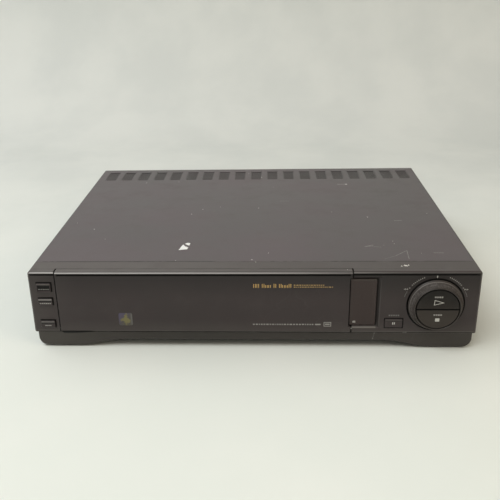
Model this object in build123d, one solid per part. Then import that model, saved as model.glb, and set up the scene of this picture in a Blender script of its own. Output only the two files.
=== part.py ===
"""A front-loading video cassette recorder, built as the assembly that comes apart on a bench.

Frame: millimetres, +Z up, +X to the viewer's right, the front looks along -Y. The origin is the
middle of the footprint on the table. Depths called d are measured backwards from the front face.
"""

from build123d import *
from math import asin, atan2, cos, degrees, hypot, pi, radians, sin, sqrt
import os

# ---------------------------------------------------------------- case
WIDTH = 430.0  # over the painted cover
HEIGHT = 82.0  # table to the top of the cover
DEPTH = 350.0  # front face to the back edge of the cover
BODY_BOTTOM = 17.4  # lower edge of bezel and cover
CORNER_R = 3.0  # long top corners of the case
RIM = 1.7  # slanted front rim of the bezel and the door
RIM_SOFT = 0.4  # rounding of the rim's own edges
GROOVE_DROP = 3.2  # shadow groove below the top edge, measured to its middle
GROOVE_H = 1.0
GROOVE_IN = 1.2
SHEET = 1.0  # painted steel sheet
WALL = 2.5  # moulded walls
GAP = 0.4  # shut line between visible panels
AIR = 0.3  # clearance between moving neighbours
RUN = 0.05  # radial clearance of a pin in its bore
BEZEL_DEPTH = 24.0  # the moulded front wraps this far over the top
DIAL_OUT = 10.5  # dial face in front of the front face
JACK_OUT = 9.0  # terminals behind the rear panel

# ---------------------------------------------------------------- base
SKIRT_IN = 2.7  # the skirt stands in from the cover on each side
SKIRT_SET = 0.8  # and behind the front face
SKIRT_DEPTH = 55.0
FOOT_UP = 1.2  # underside of a foot above the table, on its pad
ARCH_UP = 8.2  # underside of the skirt between its feet
ARCH_HALF = 122.0  # half the length of the flat arch
FOOT_START = 177.0  # where a foot reaches its full depth
FOOT_R = 9.0  # outer lower corner of the skirt
SKIRT_FLOOR = 2.6
PAD_R = 8.0
PAD_H = 2.2
PAD_X = 188.0
FRONT_PAD_D = 26.0
REAR_PAD_D = 312.0
REAR_FOOT_R = 12.0
FLOOR_UNDER = 15.0  # underside of the bottom plate
FLANGE_TOP = 34.0  # upturned edge of the bottom plate

# ---------------------------------------------------------------- front door
LEFT_COLUMN = 25.7  # bezel left of the door opening
RIGHT_PANEL = 118.6  # bezel right of the door opening
DOOR_THICK = 2.4
DOOR_OUT = 1.2  # the door stands proud of the face
DOOR_WRAP = 7.0  # the door's top wraps back this far
DOOR_GAP = 0.7  # shut line at each end of the door
DOOR_LIFT = 1.1  # gap under the door, where its lower edge turns
DOOR_EDGE_R = 1.2
DOOR_FOOT_R = 1.4  # rounded lower edge of the door
RELIEF_L = 42.0  # finger relief under the left end of the door
RELIEF_H = 0.9
HINGE_D = 2.1
HINGE_UP = 3.6  # hinge axis above the body's lower edge
HINGE_PIN_R = 1.1
HINGE_PIN_L = 5.6
LUG = 3.4
DOOR_RIB = 1.0

# ---------------------------------------------------------------- display window
WINDOW_IN = 2.9  # the window reaches this far into the door's right edge
WINDOW_W = 25.0
WINDOW_BOTTOM = 25.6
WINDOW_TOP = 74.0
WINDOW_T = 1.6
WINDOW_SET = 0.6
WINDOW_BEVEL = 3.0
DISPLAY_T = 6.0

# ---------------------------------------------------------------- buttons and dial
KEY_W = 14.0
KEY_X = 14.9  # column of keys, from the left edge of the case
KEY_OUT = 2.0
KEY_TRAVEL = 1.5
KEY_SOFT = 0.5  # rounding of a key's front edges
POWER_Z, POWER_H = 65.7, 9.3
INPUT_Z, INPUT_H = 50.5, 7.2
EJECT_Z, EJECT_H = 26.4, 7.4
FLANGE = 0.9  # rim behind the wall that keeps a key from falling out
FLANGE_T = 1.2
PAUSE_W, PAUSE_H, PAUSE_OUT = 16.8, 9.2, 0.9
PAUSE_Z = 28.0
PAUSE_X = 79.0  # from the right edge of the case
DIAL_X = 40.8  # dial centre from the right edge of the case
DIAL_Z = 47.8
RING_R = 25.9
RING_GAP = 1.0  # the ring in its hole in the front
RING_FACE_R = 21.4
DISC_R = 20.0
DISC_GAP = 0.6  # the half discs in the ring
DISC_SPLIT = 0.9  # between the two halves
RING_SHOULDER = 1.8
ENCODER_R = 24.0
ENCODER_BORE = 14.0
WEB_BACK = 2.6  # back of the plate that the two stems pass through
STEM_R = 3.0
STEM_SPREAD = 7.0
SWITCH_W = 6.0
SWITCH_H = 3.4
BOARD_T = 1.6
FRONT_BOARD_D = 14.0

# ---------------------------------------------------------------- panel behind the door
BAY_X = -70.0  # centre line of the cassette and the tape deck
FASCIA_D = 8.0
FASCIA_T = 2.0
SMALL_KEY_W, SMALL_KEY_H = 17.0, 7.0
SMALL_KEY_OUT = 1.8
SMALL_KEY_TRAVEL = 1.2
SMALL_KEY_Z = 31.5
SMALL_KEY_PITCH = 24.0
SMALL_KEY_FIRST = BAY_X + 12.0
SMALL_KEYS = ["channel_down", "channel_up", "record", "timer", "tape_speed", "counter_reset"]
INNER_BOARD_D = 17.0
FRONT_JACK_FIRST = BAY_X - 90.0
FRONT_JACK_PITCH = 17.0

# ---------------------------------------------------------------- cassette and lift
CASSETTE_W = 188.0
CASSETTE_H = 25.0
CASSETTE_UNDER = 48.0  # underside of a cassette as it is pushed in
SLOT_CLEAR = 1.2
FLAP_T = 1.5
FLAP_LAP = 1.0  # the flap overlaps the slot at each side
FLAP_PIN_R = 1.0
FLAP_OPEN = 88.0
SPRING_R = 1.7
SPRING_WIRE = 0.5
LIFT_TRAVEL = 57.0
LIFT_DROP = 20.0
BASKET_D = 26.0
BASKET_L = 50.0
BASKET_T = 1.6
LEDGE = 11.0
LIFT_T = 1.2
LIFT_END = 137.0
GUIDE_PIN_R = 2.0
RAIL_Z = 68.0
RACK_L = 76.0
RACK_Z = 36.0

# ---------------------------------------------------------------- tape deck
DECK_UNDER = 22.0
DECK_T = 1.2
DECK_FRONT = 21.0
DECK_BACK = 205.0
DECK_HALF = 106.0
DRUM_D = 168.0
DRUM_R = 31.0
DRUM_TILT = 5.5
LOWER_DRUM_H = 20.0
UPPER_DRUM_H = 15.0
CAPSTAN_X, CAPSTAN_D = 58.0, 152.0
CAPSTAN_R = 1.6
FLYWHEEL_R = 24.0
BEARING_R = 4.2
BEARING_H = 6.5
PINCH_PIVOT_X, PINCH_PIVOT_D = 84.0, 158.0
PINCH_R = 7.0
PINCH_GAP = 9.0  # roller to capstan at rest
REEL_X, REEL_D = 46.0, 73.0
REEL_R = 19.0
SPINDLE_R = 8.0
SHAFT_R = 1.6
GUIDE_START_X, GUIDE_START_D = 30.0, 112.0
GUIDE_END_X, GUIDE_END_D = 43.0, 160.0
GUIDE_W = 12.0
SLOT_W = 4.0
KEEL_L = 5.0  # straight part of a guide's keel
CAM_X, CAM_D = -76.0, 160.0
CAM_TEETH, PINION_TEETH = 40, 10
GEAR_MODULE = 0.8
LIFT_TEETH = 10
MOTOR_R = 9.0
MOTOR_L = 24.0

# ---------------------------------------------------------------- boards and terminals
BOARD_GAP = 12.0  # from the deck's right edge to the main board
BOARD_EDGE = 8.0
BOARD_POST = 4.0  # height of the posts under the boards
POWER_BOARD_D = 225.0
POWER_BOARD_W = 133.0
TRANSFORMER_IN = 37.0  # transformer's centre from the power board's left edge
TRANSFORMER_BACK = 50.8  # and from its back edge
TRANSFORMER_W = 56.0
SINK_X = 79.0
SINK_BACK = 39.8
SINK_FINS = 8
SINK_PITCH = 6.0
SINK_H = 38.0
JACK_R = 4.15
JACK_BORE = 1.8
RF_R = 4.7
GLAND_R = 7.0
GLAND_BORE = 3.4
SCREW_R = 1.5
HEAD_R = 3.6
HEAD_T = 1.7
FRONT_SCREW_D = 70.0
VENT_CELLS = 19
VENT_PITCH = 21.8
VENT_W = 14.6
VENT_L = 35.0
VENT_BACK = 13.0  # plain margin behind the vents
VENT_SLITS = 7
VENT_SLIT = 1.7
VENT_DISH = 0.5

# ---------------------------------------------------------------- worked out from the above
REAR_D = DEPTH - SHEET - 0.2  # outer face of the rear panel
FACE_Y = DIAL_OUT - (DIAL_OUT + REAR_D + JACK_OUT) / 2
HALF = WIDTH / 2
DOOR_LEFT = -HALF + LEFT_COLUMN
DOOR_RIGHT = HALF - RIGHT_PANEL
DOOR_BOTTOM = BODY_BOTTOM - GAP + DOOR_LIFT
HINGE_Z = BODY_BOTTOM + HINGE_UP
NOTCH_X = DOOR_RIGHT - WINDOW_IN
NOTCH_BOTTOM = WINDOW_BOTTOM - 1.0
NOTCH_TOP = WINDOW_TOP + 1.0
SKIRT_TOP = BODY_BOTTOM - GAP
FLOOR_Z = FLOOR_UNDER + SHEET
COVER_UNDER = HEIGHT - SHEET
BEZEL_UNDER = HEIGHT - WALL
BOARD_TOP = FLOOR_Z + BOARD_POST + BOARD_T
DECK_Z = DECK_UNDER + DECK_T
SLOT_HALF = CASSETTE_W / 2 + SLOT_CLEAR
SLOT_BOTTOM = CASSETTE_UNDER - SLOT_CLEAR
SLOT_TOP = CASSETTE_UNDER + CASSETTE_H + SLOT_CLEAR
FASCIA_BACK = FASCIA_D + FASCIA_T
FLAP_AXIS_D = FASCIA_BACK + AIR + FLAP_T + 0.5
FLAP_AXIS_Z = SLOT_TOP + 3.0
FLAP_HALF = SLOT_HALF + FLAP_LAP
BASKET_IN = FLAP_HALF + 0.6  # inner face of the basket's sides, from the bay's centre line
CARRIAGE_IN = BASKET_IN + BASKET_T + 0.6
LIFT_IN = CARRIAGE_IN + 2.0 + 1.4
DIAL_CX = HALF - DIAL_X
PAUSE_CX = HALF - PAUSE_X
KEY_CX = -HALF + KEY_X
SWITCH_TIP = FRONT_BOARD_D - SWITCH_H
MIN3 = (Align.MIN, Align.MIN, Align.MIN)


# ---------------------------------------------------------------- shapes in x, depth and height
def block(x, d, z):
    """A box from three (low, high) pairs: x, depth behind the face, and height."""
    return Pos(x[0], FACE_Y + d[0], z[0]) * Box(x[1] - x[0], d[1] - d[0], z[1] - z[0], align=MIN3)


def rod_z(r, x, d, z):
    return Pos(x, FACE_Y + d, (z[0] + z[1]) / 2) * Cylinder(r, z[1] - z[0])


def rod_y(r, x, d, z):
    return Pos(x, FACE_Y + (d[0] + d[1]) / 2, z) * Rot(90, 0, 0) * Cylinder(r, d[1] - d[0])


def rod_x(r, x, d, z):
    return Pos((x[0] + x[1]) / 2, FACE_Y + d, z) * Rot(0, 90, 0) * Cylinder(r, x[1] - x[0])


def upright(d):
    """The plane facing the front at a depth, with x to the right and z up."""
    return Plane(origin=(0, FACE_Y + d, 0), x_dir=(1, 0, 0), z_dir=(0, -1, 0))


def soft_block(x, d, z, r):
    """A box whose four edges along the depth are rounded."""
    whole = block(x, d, z)
    return fillet(whole.edges().filter_by(Axis.Y), r)


def edges_near(part, axis, x=None, d=None, z=None, tol=0.05):
    """The part's straight edges along an axis whose middle lies at the given coordinates."""
    found = []
    for e in part.edges().filter_by(axis):
        c = e.center()
        here = ((x, c.X), (None if d is None else FACE_Y + d, c.Y), (z, c.Z))
        if all(want is None or abs(want - is_) < tol for want, is_ in here):
            found.append(e)
    return found


def joined(parts):
    """One shape from several solids that touch or overlap."""
    whole = parts[0]
    for p in parts[1:]:
        whole = whole + p
    return whole


def group(parts):
    """Separate solids kept in one node."""
    return Compound(children=[s for p in parts for s in p.solids()])


def write(name, shape):
    export_step(shape, os.path.join("parts", name + ".step"))


# ---------------------------------------------------------------- case
def case_block(inset, d, bottom, top_r):
    """The case's outline, drawn in by inset at the sides and the top."""
    x = HALF - inset
    whole = block((-x, x), d, (bottom, HEIGHT - inset))
    return fillet(edges_near(whole, Axis.Y, z=HEIGHT - inset), top_r)


def vent_cells():
    """(left edge, right edge) of each vent cell across the cover."""
    first = -VENT_PITCH * (VENT_CELLS - 1) / 2
    return [(first + VENT_PITCH * i - VENT_W / 2, first + VENT_PITCH * i + VENT_W / 2)
            for i in range(VENT_CELLS)]


def side_screws():
    return [(side, d) for side in (-1, 1) for d in (FRONT_SCREW_D, REAR_D - 58.8)]


SIDE_SCREW_Z = (BODY_BOTTOM + FLANGE_TOP) / 2
REAR_SCREW_X = (-HALF + 65.0, 0.0, HALF - 65.0)
REAR_LIP = 11.0
REAR_SCREW_Z = HEIGHT - REAR_LIP / 2 - 0.5


def top_cover():
    front, back = BEZEL_DEPTH + GAP, DEPTH
    cover = case_block(0, (front, back), BODY_BOTTOM, CORNER_R)
    cover -= case_block(SHEET, (front - 1, back + 1), BODY_BOTTOM - 1, CORNER_R - SHEET)
    cover += block((-HALF + SHEET, HALF - SHEET), (back - SHEET, back),
                   (HEIGHT - REAR_LIP, HEIGHT - SHEET / 2))
    vent_back = back - VENT_BACK
    dishes = [block(c, (vent_back - VENT_L, vent_back), (HEIGHT - VENT_DISH, HEIGHT + 1))
              for c in vent_cells()]
    step = VENT_L / VENT_SLITS
    slits = [
        block((c[0] + 1, c[1] - 1), (vent_back - step * (i + 0.5) - VENT_SLIT / 2,
                                     vent_back - step * (i + 0.5) + VENT_SLIT / 2),
              (HEIGHT - 3, HEIGHT + 1))
        for c in vent_cells() for i in range(VENT_SLITS)
    ]
    holes = [rod_x(SCREW_R + 0.2, (s * HALF - 4, s * HALF + 4), d, SIDE_SCREW_Z)
             for s, d in side_screws()]
    holes += [rod_y(SCREW_R + 0.2, x, (back - 3, back + 3), REAR_SCREW_Z) for x in REAR_SCREW_X]
    return cover - dishes - slits - holes


def cover_screws():
    screws = []
    for s, d in side_screws():
        out = s * HALF
        shank = rod_x(SCREW_R, sorted((out - s * 6.0, out)), d, SIDE_SCREW_Z)
        head = rod_x(HEAD_R, sorted((out, out + s * HEAD_T)), d, SIDE_SCREW_Z)
        cross = [block(sorted((out + s * (HEAD_T - 0.8), out + s * 5)), (d - a, d + a),
                       (SIDE_SCREW_Z - b, SIDE_SCREW_Z + b))
                 for a, b in ((1.7, 0.35), (0.35, 1.7))]
        screws.append(shank + head - cross)
    for x in REAR_SCREW_X:
        shank = rod_y(SCREW_R, x, (DEPTH - 6.0, DEPTH), REAR_SCREW_Z)
        head = rod_y(HEAD_R, x, (DEPTH, DEPTH + HEAD_T), REAR_SCREW_Z)
        cross = [block((x - a, x + a), (DEPTH + HEAD_T - 0.8, DEPTH + 5),
                       (REAR_SCREW_Z - b, REAR_SCREW_Z + b))
                 for a, b in ((1.7, 0.35), (0.35, 1.7))]
        screws.append(shank + head - cross)
    return group(screws)


# ---------------------------------------------------------------- base
def skirt_outline(inset=0.0):
    """The skirt seen from the front: two deep feet joined by a shallow arch."""
    x = HALF - SKIRT_IN - inset
    foot, arch, top = FOOT_UP, ARCH_UP, SKIRT_TOP
    mid = (ARCH_HALF + FOOT_START) / 2
    with BuildPart() as body:
        with BuildSketch(Plane.XZ) as outline:
            with BuildLine():
                Line((-ARCH_HALF, arch), (ARCH_HALF, arch))
                Bezier((ARCH_HALF, arch), (mid, arch), (mid, foot), (FOOT_START, foot))
                Line((FOOT_START, foot), (x - FOOT_R, foot))
                TangentArc((x - FOOT_R, foot), (x, foot + FOOT_R), tangent=(1, 0))
                Line((x, foot + FOOT_R), (x, top))
                Line((x, top), (-x, top))
                Line((-x, top), (-x, foot + FOOT_R))
                TangentArc((-x, foot + FOOT_R), (-x + FOOT_R, foot), tangent=(0, -1))
                Line((-x + FOOT_R, foot), (-FOOT_START, foot))
                Bezier((-FOOT_START, foot), (-mid, foot), (-mid, arch), (-ARCH_HALF, arch))
            make_face()
        extrude(amount=-(SKIRT_DEPTH - SKIRT_SET))
    return Pos(0, FACE_Y + SKIRT_SET, 0) * body.part


def base_skirt():
    skirt = skirt_outline()
    skirt = fillet([e for e in edges_near(skirt, Axis.Z, d=SKIRT_SET)], 2.0)
    x = HALF - SKIRT_IN - WALL
    skirt -= block((-x, x), (SKIRT_SET + WALL, SKIRT_DEPTH + 1), (ARCH_UP + SKIRT_FLOOR, SKIRT_TOP + 1))
    pads = [rod_z(PAD_R + 0.1, s * PAD_X, FRONT_PAD_D, (FOOT_UP - 1, PAD_H)) for s in (-1, 1)]
    ribs = [block((s * 60 - 1, s * 60 + 1), (SKIRT_SET + WALL - 0.5, SKIRT_DEPTH),
                  (ARCH_UP + 1, FLOOR_UNDER))
            for s in (-3, -2, -1, 0, 1, 2, 3)]
    return joined([skirt - pads] + ribs)


def foot_pads():
    return group([rod_z(PAD_R, s * PAD_X, d, (0, PAD_H)) for s in (-1, 1)
                  for d in (FRONT_PAD_D, REAR_PAD_D)])


def rear_feet():
    feet = []
    for s in (-1, 1):
        cup = Pos(s * PAD_X, FACE_Y + REAR_PAD_D, FOOT_UP + (FLOOR_UNDER - FOOT_UP) / 2) * Cone(
            REAR_FOOT_R - 1.5, REAR_FOOT_R, FLOOR_UNDER - FOOT_UP)
        feet.append(cup - rod_z(PAD_R + 0.1, s * PAD_X, REAR_PAD_D, (0, PAD_H)))
    return group(feet)


def deck_posts():
    return [(BAY_X + s * (DECK_HALF - 8), d) for s in (-1, 1) for d in (DECK_FRONT + 8, DECK_BACK - 8)]


def main_board_span():
    return (BAY_X + DECK_HALF + BOARD_GAP, HALF - BOARD_EDGE + 1), (46.0, REAR_D - SHEET - 1.0)


def power_board_span():
    left = -HALF + BOARD_EDGE
    return (left, left + POWER_BOARD_W), (POWER_BOARD_D, REAR_D - SHEET - 12.0)


def corners(x, d, inset=6.0):
    return [(a, b) for a in (x[0] + inset, x[1] - inset) for b in (d[0] + inset, d[1] - inset)]


def bottom_plate():
    inner = HALF - SHEET - AIR  # outer face of the upturned edges
    narrow = HALF - SKIRT_IN - WALL - AIR
    back = REAR_D - SHEET
    joint = SKIRT_DEPTH + 1.0
    plate = block((-narrow, narrow), (SKIRT_SET + WALL + AIR, joint + 1), (FLOOR_UNDER, FLOOR_Z))
    plate += block((-inner, inner), (joint, back), (FLOOR_UNDER, FLOOR_Z))
    for s in (-1, 1):
        plate += block(sorted((s * (inner - SHEET), s * inner)), (joint, back), (FLOOR_UNDER, FLANGE_TOP))
    plate -= [rod_x(SCREW_R + 0.2, (s * HALF - 6, s * HALF + 4), d, SIDE_SCREW_Z)
              for s, d in side_screws()]
    vents = [block((x - 15, x + 15), (d - 1.2, d + 1.2), (FLOOR_UNDER - 1, FLOOR_Z + 1))
             for x in (-HALF + 75, -HALF + 115, HALF - 115, HALF - 75) for d in range(238, 300, 8)]
    plate -= vents
    posts = [rod_z(4.0, x, d, (FLOOR_Z - 0.5, DECK_UNDER)) for x, d in deck_posts()]
    posts += [rod_z(3.0, x, d, (FLOOR_Z - 0.5, FLOOR_Z + BOARD_POST))
              for x, d in corners(*main_board_span())]
    posts += [rod_z(3.0, x, d, (FLOOR_Z - 0.5, FLOOR_Z + BOARD_POST))
              for x, d in corners(*power_board_span())]
    return joined([plate] + posts)


# ---------------------------------------------------------------- rear
RF_X = (HALF - 47.0, HALF - 25.0)
RF_Z = 58.0
REAR_JACK_X = (HALF - 127.0, HALF - 109.0, HALF - 91.0)
REAR_JACK_Z = (40.0, 58.0)
SWITCH_X = HALF - 69.0
SWITCH_Z = 32.0
SWITCH_SLIDE = 4.0
GLAND_X = -HALF + 27.0
GLAND_Z = 34.0


def rear_panel():
    x = HALF - SHEET - AIR
    panel = block((-x, x), (REAR_D - SHEET, REAR_D), (FLOOR_Z, COVER_UNDER - AIR))
    panel = fillet(edges_near(panel, Axis.Y, z=COVER_UNDER - AIR), CORNER_R)
    cuts = [rod_y(RF_R + 1.4, cx, (REAR_D - 3, REAR_D + 3), RF_Z) for cx in RF_X]
    cuts += [rod_y(JACK_R + 1.4, cx, (REAR_D - 3, REAR_D + 3), cz) for cx in REAR_JACK_X
             for cz in REAR_JACK_Z]
    cuts.append(block((SWITCH_X - 5, SWITCH_X + 5), (REAR_D - 3, REAR_D + 3),
                      (SWITCH_Z - 2.6, SWITCH_Z + 2.6)))
    cuts.append(rod_y(GLAND_R + 0.1, GLAND_X, (REAR_D - 3, REAR_D + 3), GLAND_Z))
    cuts += [rod_y(SCREW_R + 0.2, sx, (REAR_D - 3, REAR_D + 3), REAR_SCREW_Z) for sx in REAR_SCREW_X]
    cuts += [block((vx, vx + 2.4), (REAR_D - 3, REAR_D + 3), (30, 62)) for vx in range(-150, -60, 7)]
    return panel - cuts


def cord_gland():
    bush = rod_y(GLAND_R, GLAND_X, (REAR_D - SHEET - 4, REAR_D + 0.5), GLAND_Z)
    bush += rod_y(GLAND_R + 2.6, GLAND_X, (REAR_D, REAR_D + 2.4), GLAND_Z)
    bush += rod_y(GLAND_R + 1.2, GLAND_X, (REAR_D - SHEET - 3.2, REAR_D - SHEET), GLAND_Z)
    return bush - rod_y(GLAND_BORE, GLAND_X, (REAR_D - 20, REAR_D + 20), GLAND_Z)


def tuner_unit():
    x = (RF_X[0] - 12, RF_X[1] + 12)
    can = soft_block(x, (REAR_D - SHEET - 42, REAR_D - SHEET), (BOARD_TOP, RF_Z + 12), 1.0)
    for cx in RF_X:
        can += rod_y(RF_R + 1.1, cx, (REAR_D - SHEET - 1, REAR_D + 1.0), RF_Z)
        can += rod_y(RF_R, cx, (REAR_D, REAR_D + JACK_OUT), RF_Z)
        can -= rod_y(RF_R - 1.1, cx, (REAR_D + 1, REAR_D + JACK_OUT + 1), RF_Z)
        can += rod_y(0.6, cx, (REAR_D + 0.5, REAR_D + JACK_OUT - 2), RF_Z)
    return can


def rear_jack_block():
    x = (REAR_JACK_X[0] - 9, REAR_JACK_X[-1] + 30)
    whole = block(x, (REAR_D - SHEET - 16, REAR_D - SHEET), (BOARD_TOP, REAR_JACK_Z[-1] + 9))
    whole -= block((SWITCH_X - 9, SWITCH_X + 9), (REAR_D - SHEET - 7, REAR_D),
                   (SWITCH_Z - 3.4, SWITCH_Z + 3.4))
    bores = [rod_y(JACK_BORE, cx, (REAR_D - SHEET - 12, REAR_D + 20), cz) for cx in REAR_JACK_X
             for cz in REAR_JACK_Z]
    collars = [rod_y(JACK_R + 1.1, cx, (REAR_D - SHEET - 0.5, REAR_D + 1.0), cz) for cx in REAR_JACK_X
               for cz in REAR_JACK_Z]
    return joined([whole] + collars) - bores


def jack_shell(cx, start, end, cz):
    return rod_y(JACK_R, cx, (start, end), cz) - rod_y(JACK_R - 0.8, cx, (start - 1, end + 1), cz)


def rear_jack_shells():
    return group([jack_shell(cx, REAR_D + 1.0, REAR_D + JACK_OUT - 0.6, cz) for cx in REAR_JACK_X
                  for cz in REAR_JACK_Z])


def channel_switch():
    x = SWITCH_X - SWITCH_SLIDE / 2
    knob = block((x - 2.2, x + 2.2), (REAR_D - SHEET - 3, REAR_D + 2.0), (SWITCH_Z - 1.9, SWITCH_Z + 1.9))
    tongue = block((x - 5.5, x + 5.5), (REAR_D - SHEET - 6.7, REAR_D - SHEET - AIR),
                   (SWITCH_Z - 3.1, SWITCH_Z + 3.1))
    return knob + tongue


# ---------------------------------------------------------------- front
def key_holes():
    """(x centre, z centre, width, height) of the three keys in the left column."""
    return [(KEY_CX, z, KEY_W, h)
            for z, h in ((POWER_Z, POWER_H), (INPUT_Z, INPUT_H), (EJECT_Z, EJECT_H))]


def window_recess():
    """The bevelled tray around the display window, wide at the face and narrow at its floor."""
    deep = WINDOW_SET + WINDOW_T
    left, right = NOTCH_X, NOTCH_X + WINDOW_W + 1.0
    low, high = WINDOW_BOTTOM - GAP, WINDOW_TOP + GAP
    z0, z1 = low - WINDOW_BEVEL * 0.8, high + WINDOW_BEVEL * 0.6
    x1 = right + WINDOW_BEVEL
    floor = Pos((left + right) / 2, (low + high) / 2) * Rectangle(right - left, high - low)
    mouth = Pos((left + x1) / 2, (z0 + z1) / 2) * Rectangle(x1 - left, z1 - z0)
    return loft([(upright(0) * mouth).face(), (upright(deep) * floor).face()]), (left, x1, z0, z1)


def shadow_groove(x, face_d):
    """The fine groove that runs along a front panel just below its slanted top rim."""
    z = HEIGHT - GROOVE_DROP
    return block(x, (face_d - 1, face_d + GROOVE_IN), (z - GROOVE_H / 2, z + GROOVE_H / 2))


def front_bezel():
    whole = case_block(0, (0, BEZEL_DEPTH), BODY_BOTTOM, CORNER_R)
    rim = [e for f in whole.faces().filter_by(Axis.Y).sort_by(Axis.Y)[:1]
           for e in f.edges() if e.center().Z > BODY_BOTTOM + 0.1]
    whole = chamfer(rim, RIM)
    hollow = block((-HALF + WALL, HALF - WALL), (WALL, BEZEL_DEPTH + 1), (BODY_BOTTOM + 2.0, BEZEL_UNDER))
    whole -= hollow
    # opening for the door, with a return wall on each side; the top is cut back for the door's wrap
    cut_back = DOOR_WRAP + 0.5
    door_hole = block((DOOR_LEFT, DOOR_RIGHT), (-1, WALL + 0.1), (BODY_BOTTOM - 1, HEIGHT + 1))
    door_hole += block((DOOR_LEFT, DOOR_RIGHT), (-1, cut_back), (BODY_BOTTOM - 1, HEIGHT + 1))
    whole -= door_hole
    walls = [block((DOOR_LEFT - 2, DOOR_LEFT), (0.4, BEZEL_DEPTH), (BODY_BOTTOM, BEZEL_UNDER + 0.5)),
             block((DOOR_RIGHT, DOOR_RIGHT + 2), (0.4, BEZEL_DEPTH), (BODY_BOTTOM, NOTCH_BOTTOM)),
             block((DOOR_RIGHT, DOOR_RIGHT + 2), (0.4, BEZEL_DEPTH), (NOTCH_TOP, BEZEL_UNDER + 0.5))]
    walls += [block((NOTCH_X, DOOR_RIGHT + 1), (FASCIA_D, BEZEL_DEPTH), z)
              for z in ((NOTCH_BOTTOM - 1.2, NOTCH_BOTTOM), (NOTCH_TOP, NOTCH_TOP + 1.2))]
    tray, (x0, x1, z0, z1) = window_recess()
    backing = block((NOTCH_X, x1 + 1.5), (0.8, 5.0), (z0 - 2, z1 + 2))
    backing -= block((NOTCH_X - 1, DOOR_RIGHT), (0, 6), (BODY_BOTTOM, NOTCH_BOTTOM))
    backing -= block((NOTCH_X - 1, DOOR_RIGHT), (0, 6), (NOTCH_TOP, HEIGHT))
    side = block((NOTCH_X, NOTCH_X + 2), (2.2, BEZEL_DEPTH), (NOTCH_BOTTOM, NOTCH_TOP))
    bosses = [rod_y(2.6, x, (WALL - 0.5, FRONT_BOARD_D), z)
              for x, z in ((-HALF + 5.6, 40.0), (-HALF + 5.6, 74.0), (HALF - 6, 74.0), (HALF - 6, 24.0),
                           (PAUSE_CX, 40.0))]
    whole = joined([whole] + walls + [backing, side] + bosses)
    whole -= shadow_groove((-HALF + CORNER_R + RIM, HALF - CORNER_R - RIM), 0)
    whole -= tray
    whole -= block((NOTCH_X - 1, NOTCH_X + 0.01), (-1, 5), (NOTCH_BOTTOM, NOTCH_TOP))
    inset = 3.0
    whole -= block((NOTCH_X + inset, NOTCH_X + WINDOW_W - inset), (1, 6),
                   (WINDOW_BOTTOM + inset, WINDOW_TOP - inset))
    for cx, cz, w, h in key_holes():
        whole -= block((cx - w / 2 - GAP, cx + w / 2 + GAP), (-1, WALL + 1),
                       (cz - h / 2 - GAP, cz + h / 2 + GAP))
    whole -= soft_block((PAUSE_CX - PAUSE_W / 2 - GAP, PAUSE_CX + PAUSE_W / 2 + GAP), (-1, WALL + 1),
                        (PAUSE_Z - PAUSE_H / 2 - GAP, PAUSE_Z + PAUSE_H / 2 + GAP), 1.6)
    whole -= rod_y(RING_R + RING_GAP, DIAL_CX, (-1, WALL + 1), DIAL_Z)
    bore = HINGE_PIN_R + RUN
    whole -= [rod_x(bore, (DOOR_LEFT - 5, DOOR_LEFT + 1), HINGE_D, HINGE_Z),
              rod_x(bore, (DOOR_RIGHT - 1, DOOR_RIGHT + 5), HINGE_D, HINGE_Z)]
    # ledge under the front edge of the cover
    ledge_x = HALF - SHEET - AIR
    ledge = block((-ledge_x, ledge_x), (BEZEL_DEPTH - 4, BEZEL_DEPTH + 5),
                  (COVER_UNDER - AIR - 1.4, COVER_UNDER - AIR))
    ledge = fillet(edges_near(ledge, Axis.Y, z=COVER_UNDER - AIR), 1.3)
    ledge -= block((-HALF, HALF), (BEZEL_DEPTH - 5, BEZEL_DEPTH - 2),
                   (BEZEL_UNDER - 3, BEZEL_UNDER - 0.6))
    for s in (-1, 1):
        ledge += block(sorted((s * (HALF - WALL), s * (ledge_x))), (BEZEL_DEPTH - 2, BEZEL_DEPTH + 5),
                       (BODY_BOTTOM + 18, COVER_UNDER - 4))
    return whole + ledge


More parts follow.
